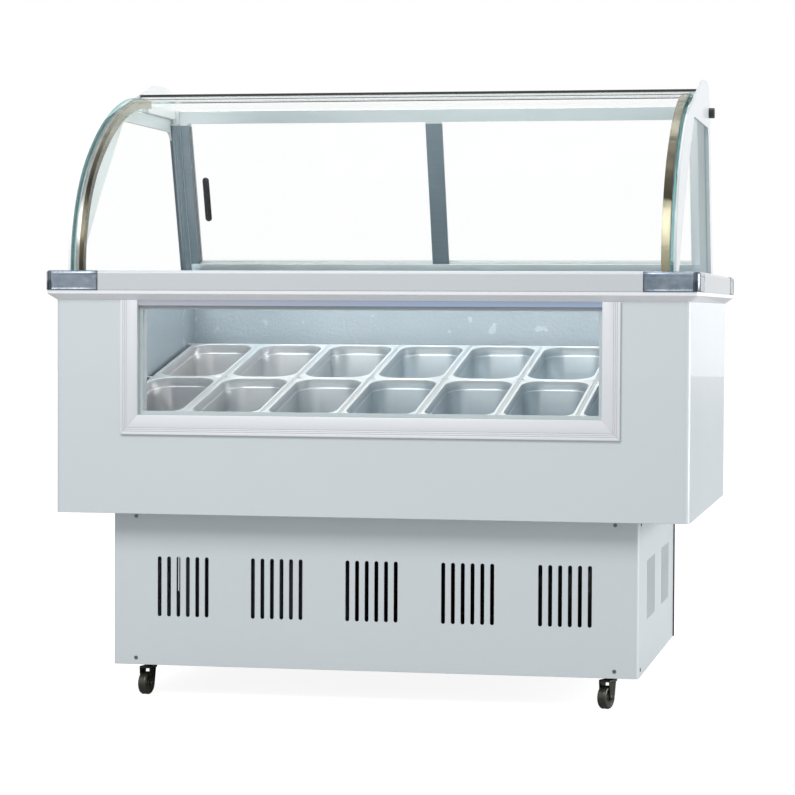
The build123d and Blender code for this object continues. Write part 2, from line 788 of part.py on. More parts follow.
def build_condenser():
    front, back, shroud, _ = unit_depths()
    x0, x1 = condenser_x - condenser_size[0] / 2, condenser_x + condenser_size[0] / 2
    top = base_floor_top + condenser_size[2]
    core = block(x0, x1, front, back, base_floor_top, top)
    grooves = int((condenser_size[0] - 2 * fin_pitch) / fin_pitch)
    for index in range(grooves):
        x = condenser_x + (index - (grooves - 1) / 2) * fin_pitch
        core -= block(x - fin_groove / 2, x + fin_groove / 2, front, front + fin_pitch,
                      base_floor_top + fin_pitch, top - fin_pitch)
    hole = fan_radius + fan_tip_gap
    guard = block(x0, x1, back, shroud, base_floor_top, top)
    collar = Pos(condenser_x, shroud + shroud_collar / 2, fan_centre_z()) * Rot(90, 0, 0) * Cylinder(
        hole + shroud_thickness, shroud_collar)
    opening = Pos(condenser_x, (back + shroud + shroud_collar) / 2, fan_centre_z()) * Rot(
        90, 0, 0) * Cylinder(hole, shroud_thickness + shroud_collar)
    write("condenser", [core, guard + collar - opening])


def build_fan():
    start = unit_depths()[3]
    centre = Pos(condenser_x, start, fan_centre_z()) * Rot(-90, 0, 0)
    hub = Pos(0, 0, fan_hub_length / 2) * Cylinder(fan_hub_radius, fan_hub_length)
    rotor = hub
    blade_height = fan_hub_length * 0.8
    for index in range(fan_blades):
        span = fan_radius - fan_hub_radius / 2
        blade = Rot(0, 0, 360 / fan_blades * index) * Pos(
            fan_hub_radius / 2 + span / 2, 0, fan_hub_length / 2) * Rot(30, 0, 0) * Box(
            span, blade_height * 1.6, 2.0)
        rotor += blade
    keep = Pos(0, 0, fan_hub_length / 2) * Cylinder(fan_radius, fan_hub_length)
    bore = Pos(0, 0, fan_hub_length - motor_gap) * Cylinder(shaft_radius + pin_clearance,
                                                            2 * fan_hub_length / 1.6)
    write("fan_rotor", centre * ((rotor & keep) - bore))
    back = fan_hub_length + motor_gap
    case = Pos(0, 0, back + motor_length / 2) * Cylinder(motor_radius, motor_length)
    reach_in = fan_hub_length / 2
    shaft = Pos(0, 0, back - (motor_gap + reach_in) / 2) * Cylinder(shaft_radius,
                                                                    motor_gap + reach_in)
    motor = centre * (case + shaft)
    middle = start + back + motor_length / 2
    foot = block(condenser_x - motor_foot / 2, condenser_x + motor_foot / 2,
                 middle - motor_length / 4, middle + motor_length / 4,
                 base_floor_top, fan_centre_z())
    write("fan_motor", motor + foot)


def build_compressor():
    plate_low = base_floor_top + compressor_feet_height
    spread = compressor_radius
    plate = block(compressor_x - spread, compressor_x + spread, compressor_y - spread,
                  compressor_y + spread, plate_low, plate_low + compressor_plate)
    shell_low = plate_low + compressor_plate
    shell = Pos(compressor_x, compressor_y, shell_low + compressor_height / 2) * Cylinder(
        compressor_radius, compressor_height)
    shell = fillet(shell.edges().filter_by(GeomType.CIRCLE), compressor_radius / 2)
    pieces = [plate + shell]
    place = spread - 1.5 * compressor_foot_radius
    for sx in (-1, 1):
        for sy in (-1, 1):
            pieces.append(Pos(compressor_x + sx * place, compressor_y + sy * place,
                              base_floor_top + compressor_feet_height / 2)
                          * Cylinder(compressor_foot_radius, compressor_feet_height))
    write("compressor", pieces)


def build_circuit():
    pieces = [evaporator()]
    top = well_floor - sheet - evaporator_thickness
    for x, y, start in circuit_points():
        pieces.append(Pos(x, y, (start + top) / 2) * Cylinder(pipe_radius, top - start))
    z = base_floor_top + discharge_height
    condenser_y = unit_depths()[0] + condenser_size[1] / 2
    side = condenser_x + condenser_size[0] / 2
    route = FilletPolyline((compressor_x - compressor_radius, compressor_y, z),
                           (discharge_x, compressor_y, z), (discharge_x, condenser_y, z),
                           (side, condenser_y, z), radius=pipe_bend)
    ring = Plane(origin=route @ 0, z_dir=route % 0) * Circle(pipe_radius)
    pieces.append(sweep(ring, path=route))
    write("refrigerant_circuit", pieces)


# ---- Controls -------------------------------------------------------------
def control_bounds():
    width, depth, height = control_size
    return (control_x - width / 2, control_x + width / 2, base_rear - depth,
            control_z - height / 2, control_z + height / 2)


def build_controls():
    x0, x1, y0, z0, z1 = control_bounds()
    case = block(x0, x1, y0, base_rear, z0, z1)
    dial = Pos(control_x + dial_offset, base_rear, control_z) * Rot(-90, 0, 0)
    bore = dial * Pos(0, 0, -dial_shaft_length / 2) * Cylinder(
        dial_shaft_radius + pin_clearance, dial_shaft_length + 1)
    knob = Pos(0, 0, dial_gap + dial_length / 2) * Cylinder(dial_radius, dial_length)
    knob = fillet(knob.edges().sort_by(Axis.Z)[-1], 2)
    knob -= Pos(0, dial_radius * 0.6, dial_gap + dial_length) * Box(2, dial_radius * 0.8, 1.5)
    shaft = Pos(0, 0, (dial_gap - dial_shaft_length) / 2) * Cylinder(
        dial_shaft_radius, dial_shaft_length + dial_gap)
    write("thermostat_knob", dial * (knob + shaft))
    gap = switch_clearance
    sx = control_x + switch_offset
    pocket = block(sx - switch_width / 2 - 0.4, sx + switch_width / 2 + 0.4,
                   base_rear - switch_depth - gap, base_rear,
                   control_z - switch_height / 2 - gap, control_z + switch_height / 2 + gap)
    pivot = Pos(sx, base_rear - switch_depth / 2, control_z) * Rot(0, 90, 0)
    pin = pivot * Cylinder(switch_pin_radius, switch_width + 0.8 + 2 * switch_pin_length)
    socket = pivot * Cylinder(switch_pin_radius + pin_clearance,
                              switch_width + 0.8 + 2 * switch_pin_length + 0.4)
    rocker = block(sx - switch_width / 2, sx + switch_width / 2, base_rear - switch_depth,
                   base_rear + switch_proud, control_z - switch_height / 2,
                   control_z + switch_height / 2)
    write("power_switch", rocker + pin)
    gland = Pos(control_x + gland_offset, base_rear + gland_length / 2, control_z) * Rot(
        90, 0, 0) * Cylinder(gland_radius, gland_length)
    gland -= Pos(control_x + gland_offset, base_rear + gland_length / 2, control_z) * Rot(
        90, 0, 0) * Cylinder(gland_radius / 2, gland_length)
    write("control_box", [case - bore - pocket - socket, gland])


# ---- Casters --------------------------------------------------------------
def caster_places():
    front, rear = base_front + caster_inset, base_rear - caster_inset
    corners = ((-caster_x, front), (caster_x, front), (-caster_x, rear), (caster_x, rear))
    return [(x, y, yaw) for (x, y), yaw in zip(corners, caster_yaws)]


def build_casters():
    plates = []
    cheek_top = wheel_radius * 2 + fork_crown / 2
    plate_low = caster_height - caster_plate
    crown_top = plate_low - 0.5
    crown_low = crown_top - fork_crown
    half_gap = wheel_width / 2 + fork_gap
    for number, (x, y, yaw) in enumerate(caster_places(), 1):
        spot = Pos(x, y, 0)
        turned = spot * Rot(0, 0, yaw)
        plate = block(-caster_plate_size / 2, caster_plate_size / 2, -caster_plate_size / 2,
                      caster_plate_size / 2, plate_low, caster_height)
        pin_length = plate_low - (crown_low - kingpin_head)
        pin = Pos(0, 0, plate_low - pin_length / 2) * Cylinder(kingpin_radius, pin_length)
        head = Pos(0, 0, crown_low - 0.4 - kingpin_head / 2) * Cylinder(kingpin_head_radius,
                                                                        kingpin_head)
        plates.append(spot * (plate + pin + head))
        crown = Pos(0, 0, (crown_low + crown_top) / 2) * Cylinder(kingpin_head_radius + 8, fork_crown)
        crown += block(-trail - 6, 0, -half_gap - fork_wall, half_gap + fork_wall, crown_low, crown_top)
        crown -= Pos(0, 0, crown_low) * Cylinder(kingpin_radius + pin_clearance, 4 * fork_crown)
        fork = crown
        for side in (-1, 1):
            y_in = side * half_gap
            y_out = side * (half_gap + fork_wall)
            low, high = min(y_in, y_out), max(y_in, y_out)
            fork += block(-trail - 9, 0, low, high, wheel_radius, crown_low + 1)
            fork += Pos(-trail, (low + high) / 2, wheel_radius) * Rot(90, 0, 0) * Cylinder(
                9, fork_wall)
        fork += Pos(-trail, 0, wheel_radius) * Rot(90, 0, 0) * Cylinder(
            axle_radius, 2 * half_gap + 2 * fork_wall + 4)
        write(f"caster_fork_{number}", turned * fork)
        wheel = Cylinder(wheel_radius, wheel_width)
        wheel = fillet(wheel.edges().filter_by(GeomType.CIRCLE), wheel_edge)
        wheel -= Cylinder(axle_radius + pin_clearance, wheel_width + 2)
        write(f"caster_wheel_{number}", turned * Pos(-trail, 0, wheel_radius) * Rot(90, 0, 0) * wheel)
    write("caster_plates", plates)


os.makedirs("parts", exist_ok=True)
build_body()
build_insulation()
build_counter()
build_lip()
build_window()
build_glazing()
build_pans()
build_rails()
build_canopy()
build_fixed_glass()
build_brackets()
build_rear_frame()
build_doors()
build_base_panels()
build_base_frame()
build_rear_grille()
build_screws()
build_condenser()
build_fan()
build_compressor()
build_circuit()
build_controls()
build_casters()
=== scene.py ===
# %% [markdown]
# # A curved-glass ice-cream freezer
# The construction is already settled: every panel, pan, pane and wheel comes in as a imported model
# at its real size. This lesson gives it its looks. Each step says what the piece is on the real
# freezer, how it could be made, and why it is made this way.

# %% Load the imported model
import json
from math import atan2, cos, pi, radians, sin

import bmesh
import bpy
from mathutils import Matrix, Vector


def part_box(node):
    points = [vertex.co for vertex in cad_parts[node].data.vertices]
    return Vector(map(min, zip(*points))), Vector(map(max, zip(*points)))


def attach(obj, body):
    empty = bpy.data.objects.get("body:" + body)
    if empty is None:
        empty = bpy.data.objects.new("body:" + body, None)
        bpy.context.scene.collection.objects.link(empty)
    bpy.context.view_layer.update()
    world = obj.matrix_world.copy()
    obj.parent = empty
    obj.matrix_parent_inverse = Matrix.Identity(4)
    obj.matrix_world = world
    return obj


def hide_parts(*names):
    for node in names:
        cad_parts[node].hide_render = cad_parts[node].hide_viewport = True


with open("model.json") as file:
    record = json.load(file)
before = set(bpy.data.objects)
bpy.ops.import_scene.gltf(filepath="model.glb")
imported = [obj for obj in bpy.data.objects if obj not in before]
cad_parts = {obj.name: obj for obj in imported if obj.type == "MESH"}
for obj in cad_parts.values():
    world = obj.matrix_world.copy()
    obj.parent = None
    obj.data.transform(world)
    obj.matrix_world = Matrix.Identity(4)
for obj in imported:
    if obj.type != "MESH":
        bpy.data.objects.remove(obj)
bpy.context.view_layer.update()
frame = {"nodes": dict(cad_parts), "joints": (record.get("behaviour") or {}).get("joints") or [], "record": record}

nodes = frame["nodes"]
joints = {joint["name"]: joint for joint in frame["joints"]}

# %% [markdown]
# ## The camera
# The freezer is seen from the right of its middle, a little below the canopy's top, through a long
# lens. The camera is turned by its three angles: to the left, slightly down, and a hair of roll.

# %% Place the camera
camera_place = Vector((1.1669, -6.128, 0.8377))
look_left, look_down, roll = radians(11.002), radians(1.799), radians(-0.278)
camera_data = bpy.data.cameras.new("camera")
camera_data.sensor_width = 36.0
camera_data.lens = 124.48
camera_data.clip_end = 60.0
camera = bpy.data.objects.new("camera", camera_data)
turn = Matrix.Rotation(look_left, 4, "Z") @ Matrix.Rotation(pi / 2 - look_down, 4, "X")
camera.matrix_world = Matrix.Translation(camera_place) @ turn @ Matrix.Rotation(-roll, 4, "Z")
bpy.context.scene.collection.objects.link(camera)
bpy.context.scene.camera = camera
print("lens", camera_data.lens)

# %% [markdown]
# ## Light and background
# A white studio: the world is plain white to the eye, to reflections and through glass, and
# dimmer as a lamp, so that white paint keeps its shading. Two large soft lamps shape the front.

# %% World and lamps
scene = bpy.context.scene
scene.view_settings.view_transform = "Standard"
world = bpy.data.worlds.new("studio")
scene.world = world
world.use_nodes = True
sky = world.node_tree.nodes
links = world.node_tree.links
sky.clear()
path = sky.new("ShaderNodeLightPath")
seen = sky.new("ShaderNodeMath")
seen.operation = "MAXIMUM"
seen_or_mirrored = sky.new("ShaderNodeMath")
seen_or_mirrored.operation = "MAXIMUM"
links.new(path.outputs["Is Camera Ray"], seen.inputs[0])
links.new(path.outputs["Is Transmission Ray"], seen.inputs[1])
links.new(seen.outputs[0], seen_or_mirrored.inputs[0])
links.new(path.outputs["Is Glossy Ray"], seen_or_mirrored.inputs[1])
strength = sky.new("ShaderNodeMapRange")
strength.inputs["To Min"].default_value = 0.52
strength.inputs["To Max"].default_value = 1.0
links.new(seen_or_mirrored.outputs[0], strength.inputs["Value"])
background = sky.new("ShaderNodeBackground")
background.inputs["Color"].default_value = (1.0, 1.0, 1.0, 1.0)
links.new(strength.outputs["Result"], background.inputs["Strength"])
world_out = sky.new("ShaderNodeOutputWorld")
links.new(background.outputs[0], world_out.inputs["Surface"])


def soft_lamp(name, place, aim, size, watts):
    """A square area lamp at place, aimed at a point."""
    data = bpy.data.lights.new(name, "AREA")
    data.shape = "SQUARE"
    data.size = size
    data.energy = watts
    lamp = bpy.data.objects.new(name, data)
    direction = Vector(aim) - Vector(place)
    lamp.matrix_world = (Matrix.Translation(place)
                         @ direction.to_track_quat("-Z", "Y").to_matrix().to_4x4())
    bpy.context.scene.collection.objects.link(lamp)
    return lamp


middle = (0.0, 0.0, 0.7)
soft_lamp("lamp_right", (5.2, 0.9, 1.3), middle, 2.4, 185.0)
soft_lamp("lamp_front", (-1.2, -4.8, 4.4), middle, 2.6, 180.0)
soft_lamp("lamp_top", (0.0, 0.6, 4.2), middle, 2.6, 50.0)

# %% [markdown]
# ## The floor
# The floor is only there to catch the soft shadow under the casters. It is a wide plane, and its
# paint is white enough to melt into the background.

# %% Floor
bpy.ops.object.select_all(action="DESELECT")
bpy.ops.mesh.primitive_plane_add(size=60.0, location=(0.0, 0.0, 0.0))
floor = bpy.context.active_object
floor.name = "floor"
floor_paint = bpy.data.materials.new("floor_paint")
floor_paint.use_nodes = True
tree = floor_paint.node_tree
shader = tree.nodes["Principled BSDF"]
shader.inputs["Base Color"].default_value = (0.45, 0.45, 0.45, 1.0)
shader.inputs["Roughness"].default_value = 0.9
shader.inputs["Specular IOR Level"].default_value = 0.0
floor_path = tree.nodes.new("ShaderNodeLightPath")
shader.inputs["Emission Color"].default_value = (1.0, 1.0, 1.0, 1.0)
glow = tree.nodes.new("ShaderNodeMath")
glow.operation = "MULTIPLY"
glow.inputs[1].default_value = 0.90
straight = tree.nodes.new("ShaderNodeMath")
straight.operation = "MAXIMUM"
tree.links.new(floor_path.outputs["Is Camera Ray"], straight.inputs[0])
tree.links.new(floor_path.outputs["Is Transmission Ray"], straight.inputs[1])
tree.links.new(straight.outputs[0], glow.inputs[0])
tree.links.new(glow.outputs[0], shader.inputs["Emission Strength"])
floor.data.materials.append(floor_paint)
print("floor", tuple(floor.dimensions))

# %% [markdown]
# ## Shared effects
# Nothing on a real freezer is one flat colour. Four effects are built once as node groups:
# a fine unevenness for paint and plastic, a stretched grain for rolled metal, a rounded edge whose
# colour is painted lighter, partly as wear and partly as a painted highlight, and dust on faces that
# look up. Each group gives out only colours and values.


# %% Node group helpers
def new_effect(name, inputs, outputs):
    """An empty node group with named sockets, and its two end nodes."""
    group = bpy.data.node_groups.new(name, "ShaderNodeTree")
    kinds = {"color": "NodeSocketColor", "value": "NodeSocketFloat", "vector": "NodeSocketVector"}
    for label, kind, default in inputs:
        socket = group.interface.new_socket(label, in_out="INPUT", socket_type=kinds[kind])
        socket.default_value = default
    for label, kind in outputs:
        group.interface.new_socket(label, in_out="OUTPUT", socket_type=kinds[kind])
    return group, group.nodes.new("NodeGroupInput"), group.nodes.new("NodeGroupOutput")


def calculate(tree, operation, first, second):
    """A math node. Either input may be a number or a socket."""
    node = tree.nodes.new("ShaderNodeMath")
    node.operation = operation
    for index, value in enumerate((first, second)):
        if isinstance(value, (int, float)):
            node.inputs[index].default_value = value
        else:
            tree.links.new(value, node.inputs[index])
    return node.outputs[0]


def blend_colors(tree, factor, first, second):
    """The first colour where factor is 0, the second where it is 1."""
    node = tree.nodes.new("ShaderNodeMix")
    node.data_type = "RGBA"
    tree.links.new(factor, node.inputs["Factor"])
    for socket, value in ((node.inputs[6], first), (node.inputs[7], second)):
        if isinstance(value, tuple):
            socket.default_value = value
        else:
            tree.links.new(value, socket)
    return node.outputs[2]


def noise(tree, vector, scale, detail):
    """A cloudy pattern that follows the vector given."""
    node = tree.nodes.new("ShaderNodeTexNoise")
    node.inputs["Scale"].default_value = scale
    node.inputs["Detail"].default_value = detail
    tree.links.new(vector, node.inputs["Vector"])
    return node


print("node helpers ready")

# %% [markdown]
# Some tones follow a piece's own shape: how high a point lies, how far along, or which way its face
# looks. These helpers read such a coordinate, turn it into a share from 0 to 1, and shade by it.


# %% Tone helpers
def tone_group(name):
    """An effect that takes a colour and gives one back."""
    return new_effect(name, [("Color", "color", (0.5, 0.5, 0.5, 1.0))], [("Color", "color")])


def coordinate(tree, axis, of_normal=False):
    """Where a point lies along an axis or, with of_normal, how far its face looks that way."""
    if of_normal:
        source = tree.nodes.new("ShaderNodeNewGeometry").outputs["Normal"]
    else:
        source = tree.nodes.new("ShaderNodeTexCoord").outputs["Object"]
    parts = tree.nodes.new("ShaderNodeSeparateXYZ")
    tree.links.new(source, parts.inputs[0])
    return parts.outputs[axis]


def share_between(tree, value, low, high):
    """0 where value is at low, 1 where it is at high, and in step between them."""
    node = tree.nodes.new("ShaderNodeMapRange")
    node.inputs["From Min"].default_value = low
    node.inputs["From Max"].default_value = high
    tree.links.new(value, node.inputs["Value"])
    return node.outputs["Result"]


def color_ramp(tree, factor, stops):
    """A ramp that has the colour given at each position."""
    ramp = tree.nodes.new("ShaderNodeValToRGB")
    ramp.color_ramp.elements.remove(ramp.color_ramp.elements[1])
    ramp.color_ramp.elements[0].position = stops[0][0]
    ramp.color_ramp.elements[0].color = (*stops[0][1], 1.0)
    for position, tone in stops[1:]:
        ramp.color_ramp.elements.new(position).color = (*tone, 1.0)
    tree.links.new(factor, ramp.inputs["Fac"])
    return ramp.outputs["Color"]


print("tone helpers ready")

# %% [markdown]
# ### Fine unevenness
# Powder coat and moulded plastic have a faint ripple and a drift of tone over a hand's width.
# A large noise shifts the colour, and a small one moves the roughness and the height.

# %% Effect: fine unevenness
unevenness, start, end = new_effect(
    "fine_unevenness",
    [("Color", "color", (0.8, 0.8, 0.8, 1.0)), ("Tint", "color", (0.7, 0.7, 0.7, 1.0)),
     ("Roughness", "value", 0.4), ("Drift", "value", 0.3), ("Grain Size", "value", 400.0)],
    [("Color", "color"), ("Roughness", "value"), ("Height", "value")])
place = unevenness.nodes.new("ShaderNodeTexCoord").outputs["Object"]
patches = noise(unevenness, place, 2.6, 3.0)
grain = unevenness.nodes.new("ShaderNodeTexNoise")
grain.inputs["Detail"].default_value = 2.0
unevenness.links.new(place, grain.inputs["Vector"])
unevenness.links.new(start.outputs["Grain Size"], grain.inputs["Scale"])
amount = calculate(unevenness, "MULTIPLY", patches.outputs[0], start.outputs["Drift"])
unevenness.links.new(blend_colors(unevenness, amount, start.outputs["Color"], start.outputs["Tint"]),
                     end.inputs["Color"])
ripple = calculate(unevenness, "MULTIPLY", calculate(unevenness, "SUBTRACT", grain.outputs[0], 0.5), 0.16)
unevenness.links.new(calculate(unevenness, "ADD", start.outputs["Roughness"], ripple),
                     end.inputs["Roughness"])
unevenness.links.new(grain.outputs[0], end.inputs["Height"])
print("made", unevenness.name)

# %% [markdown]
# ### Rolled grain
# Stainless and aluminium carry fine lines from rolling. The same noise, squeezed hard in one
# direction, gives lines instead of spots.

# %% Effect: rolled grain
rolled, start, end = new_effect(
    "rolled_grain",
    [("Color", "color", (0.6, 0.6, 0.6, 1.0)), ("Tint", "color", (0.4, 0.4, 0.4, 1.0)),
     ("Roughness", "value", 0.3), ("Depth", "value", 0.2), ("Squeeze", "vector", (4.0, 400.0, 400.0))],
    [("Color", "color"), ("Roughness", "value"), ("Height", "value")])
place = rolled.nodes.new("ShaderNodeTexCoord").outputs["Object"]
squeezed = rolled.nodes.new("ShaderNodeVectorMath")
squeezed.operation = "MULTIPLY"
rolled.links.new(place, squeezed.inputs[0])
rolled.links.new(start.outputs["Squeeze"], squeezed.inputs[1])
lines = noise(rolled, squeezed.outputs[0], 1.0, 4.0)
clouds = noise(rolled, place, 9.0, 2.0)
tone = calculate(rolled, "MULTIPLY", calculate(rolled, "MULTIPLY", lines.outputs[0], clouds.outputs[0]),
                 calculate(rolled, "MULTIPLY", start.outputs["Depth"], 4.0))
rolled.links.new(blend_colors(rolled, tone, start.outputs["Color"], start.outputs["Tint"]),
                 end.inputs["Color"])
spread = calculate(rolled, "MULTIPLY", calculate(rolled, "SUBTRACT", lines.outputs[0], 0.5),
                   start.outputs["Depth"])
rolled.links.new(calculate(rolled, "ADD", start.outputs["Roughness"], spread), end.inputs["Roughness"])
rolled.links.new(lines.outputs[0], end.inputs["Height"])
print("made", rolled.name)

# %% [markdown]
# ### Worn edges with a painted highlight, and dust
# A bevel node rounds each sharp edge in the shading alone. Where its normal leaves the true one,
# there is an edge, and that difference is a mask. Through it the colour is painted towards a lighter
# edge tone: partly wear, partly a painted highlight. Dust needs only the upward part of the normal.

# %% Effect: edges and dust
edges, start, end = new_effect(
    "edges_and_dust",
    [("Color", "color", (0.8, 0.8, 0.8, 1.0)), ("Edge", "color", (1.0, 1.0, 1.0, 1.0)),
     ("Edge Amount", "value", 0.3), ("Dust Amount", "value", 0.05), ("Radius", "value", 0.0015)],
    [("Color", "color"), ("Normal", "vector")])
rounding = edges.nodes.new("ShaderNodeBevel")
rounding.samples = 4
edges.links.new(start.outputs["Radius"], rounding.inputs["Radius"])
geometry = edges.nodes.new("ShaderNodeNewGeometry")
alike = edges.nodes.new("ShaderNodeVectorMath")
alike.operation = "DOT_PRODUCT"
edges.links.new(rounding.outputs[0], alike.inputs[0])
edges.links.new(geometry.outputs["Normal"], alike.inputs[1])
apart = calculate(edges, "MULTIPLY", calculate(edges, "SUBTRACT", 1.0, alike.outputs["Value"]), 3.0)
place = edges.nodes.new("ShaderNodeTexCoord").outputs["Object"]
broken = noise(edges, place, 60.0, 3.0)
# Painted highlight and wear: this mask paints the colour lighter along edges.
edge_wear_highlight_mask = calculate(edges, "MULTIPLY", calculate(edges, "MULTIPLY", apart, broken.outputs[0]),
                      start.outputs["Edge Amount"])
edge_wear_highlight_mask = calculate(edges, "MINIMUM", edge_wear_highlight_mask, 1.0)
worn_and_highlighted = blend_colors(edges, edge_wear_highlight_mask, start.outputs["Color"], start.outputs["Edge"])
upward = edges.nodes.new("ShaderNodeSeparateXYZ")
edges.links.new(geometry.outputs["Normal"], upward.inputs[0])
specks = noise(edges, place, 35.0, 5.0)
lying = calculate(edges, "MULTIPLY", calculate(edges, "MAXIMUM", upward.outputs["Z"], 0.0),
                  calculate(edges, "MULTIPLY", specks.outputs[0], start.outputs["Dust Amount"]))
edges.links.new(blend_colors(edges, lying, worn_and_highlighted, (0.62, 0.60, 0.56, 1.0)), end.inputs["Color"])
edges.links.new(rounding.outputs[0], end.inputs["Normal"])
print("made", edges.name)


# %% [markdown]
# ## Materials
# One function mixes the effects for every opaque finish. Each finish below differs in its
# numbers: base tone, gloss, how much the tone drifts, and how deep its bump is.

# %% One recipe for opaque finishes
def finish(name, effect, color, tint, roughness, metallic=0.0, coat=0.0, bump=0.05,
           edge=(1.0, 1.0, 1.0, 1.0), edge_amount=0.25, dust=0.04, radius=0.0015, **values):
    """A material: an effect for tone and height, then worn edges with a painted highlight, and dust, into one
    shader.
    """
    material = bpy.data.materials.new(name)
    material.use_nodes = True
    tree = material.node_tree
    shader = tree.nodes["Principled BSDF"]
    body = tree.nodes.new("ShaderNodeGroup")
    body.node_tree = effect
    body.inputs["Color"].default_value = (*color, 1.0)
    body.inputs["Tint"].default_value = (*tint, 1.0)
    body.inputs["Roughness"].default_value = roughness
    for label, value in values.items():
        body.inputs[label.replace("_", " ").title()].default_value = value
    rim = tree.nodes.new("ShaderNodeGroup")
    rim.node_tree = edges
    # The edge tone is painted along edges: partly wear, partly a painted highlight.
    rim.inputs["Edge"].default_value = edge
    rim.inputs["Edge Amount"].default_value = edge_amount
    rim.inputs["Dust Amount"].default_value = dust
    rim.inputs["Radius"].default_value = radius
    relief = tree.nodes.new("ShaderNodeBump")
    relief.inputs["Strength"].default_value = bump
    relief.inputs["Distance"].default_value = 0.001
    tree.links.new(body.outputs["Color"], rim.inputs["Color"])
    tree.links.new(body.outputs["Height"], relief.inputs["Height"])
    tree.links.new(rim.outputs["Normal"], relief.inputs["Normal"])
    tree.links.new(rim.outputs["Color"], shader.inputs["Base Color"])
    tree.links.new(body.outputs["Roughness"], shader.inputs["Roughness"])
    tree.links.new(relief.outputs["Normal"], shader.inputs["Normal"])
    shader.inputs["Metallic"].default_value = metallic
    shader.inputs["Coat Weight"].default_value = coat
    return material


print("one recipe, two effects:", unevenness.name, rolled.name)

# %% [markdown]
# ### White paint and plastic
# The body is coated sheet with a satin gloss. The counter's moulding and the window's profiles are
# smoother plastic. All are slightly cool whites.

# %% Whites
finishes = {}
finishes["white_panel"] = finish("white_panel", unevenness, (0.70, 0.76, 0.79), (0.64, 0.71, 0.75),
                                 0.32, coat=0.25, bump=0.02, drift=0.5, grain_size=180.0)
finishes["white_moulding"] = finish("white_moulding", unevenness, (0.93, 0.95, 0.98),
                                    (0.88, 0.90, 0.95), 0.28, coat=0.3, bump=0.02, drift=0.4)
finishes["white_band"] = finish("white_band", unevenness, (0.64, 0.68, 0.71), (0.58, 0.62, 0.66),
                                0.35, coat=0.2, bump=0.02, drift=0.4)
finishes["pvc_frame"] = finish("pvc_frame", unevenness, (0.80, 0.83, 0.86), (0.75, 0.77, 0.84),
                               0.30, coat=0.2, bump=0.02, drift=0.5)
finishes["white_bracket"] = finish("white_bracket", unevenness, (0.62, 0.66, 0.68),
                                   (0.55, 0.59, 0.61), 0.36, coat=0.2, bump=0.03, drift=0.4)
finishes["foam"] = finish("foam", unevenness, (0.80, 0.72, 0.50), (0.70, 0.60, 0.38), 0.9,
                          bump=0.5, drift=0.8, grain_size=90.0)
print("whites", list(finishes))

# %% [markdown]
# ### Metals
# Pans and rails are bright stainless, rubbed along their length. The rear frame is anodised
# aluminium. Caps and arches are polished; the arches carry a warm tint in the metal itself, and
# painted reflections over it.

# %% Metals
steel = (0.84, 0.86, 0.87)
steel_shade = (0.66, 0.70, 0.72)
finishes["pan_steel"] = finish("pan_steel", rolled, steel, steel_shade, 0.34, metallic=0.75,
                               bump=0.03, depth=0.16, squeeze=(300.0, 6.0, 300.0), dust=0.0)
finishes["rail_steel"] = finish("rail_steel", rolled, steel, steel_shade, 0.34, metallic=0.9,
                                bump=0.03, depth=0.2, squeeze=(4.0, 300.0, 300.0), dust=0.0)
finishes["frame_alu"] = finish("frame_alu", rolled, (0.21, 0.26, 0.29), (0.12, 0.16, 0.19), 0.34,
                               metallic=0.85, bump=0.03, depth=0.25, squeeze=(5.0, 260.0, 260.0))
finishes["screw_steel"] = finish("screw_steel", rolled, (0.20, 0.21, 0.23), (0.08, 0.09, 0.10), 0.35,
                                 metallic=1.0, depth=0.3)
finishes["condenser_alu"] = finish("condenser_alu", rolled, (0.10, 0.11, 0.12), (0.04, 0.05, 0.05),
                                   0.5, metallic=0.8, depth=0.3, dust=0.3)
finishes["galvanised"] = finish("galvanised", rolled, (0.40, 0.42, 0.44), (0.28, 0.30, 0.33), 0.45,
                                metallic=0.8, depth=0.3, squeeze=(40.0, 40.0, 40.0))
finishes["copper"] = finish("copper", rolled, (0.72, 0.36, 0.20), (0.40, 0.18, 0.10), 0.3,
                            metallic=1.0, depth=0.3)
finishes["zinc"] = finish("zinc", rolled, (0.05, 0.05, 0.035), (0.02, 0.02, 0.015), 0.28,
                          metallic=0.6, bump=0.06, depth=0.4, squeeze=(90.0, 90.0, 90.0),
                          edge=(0.20, 0.20, 0.16, 1.0), edge_amount=0.5)
print("finishes", len(finishes))

# %% [markdown]
# ### Polished corner caps
# A mirror finish shows the room in bands, and the corner caps turn dark where their corner curves.
# These bands are a painted reflection in the caps' colour. The band follows the cap itself: the
# product of the normal's two level parts is nought on a flat side and largest half-way round the
# corner. It is put between a finish's body and its edges.


# %% Polished corner caps
def repaint(material, tones):
    """Put a tone group's colour between a finish's body and its edges."""
    tree = material.node_tree
    rim = next(n for n in tree.nodes if n.type == "GROUP" and n.node_tree == edges)
    source = rim.inputs["Color"].links[0].from_socket
    bands = tree.nodes.new("ShaderNodeGroup")
    bands.node_tree = tones
    tree.links.new(source, bands.inputs["Color"])
    tree.links.new(bands.outputs["Color"], rim.inputs["Color"])


corner_bands, start, end = tone_group("corner_bands")
turned = calculate(corner_bands, "MULTIPLY", coordinate(corner_bands, "X", of_normal=True),
                   coordinate(corner_bands, "Y", of_normal=True))
turned = calculate(corner_bands, "ABSOLUTE", turned, 0.0)
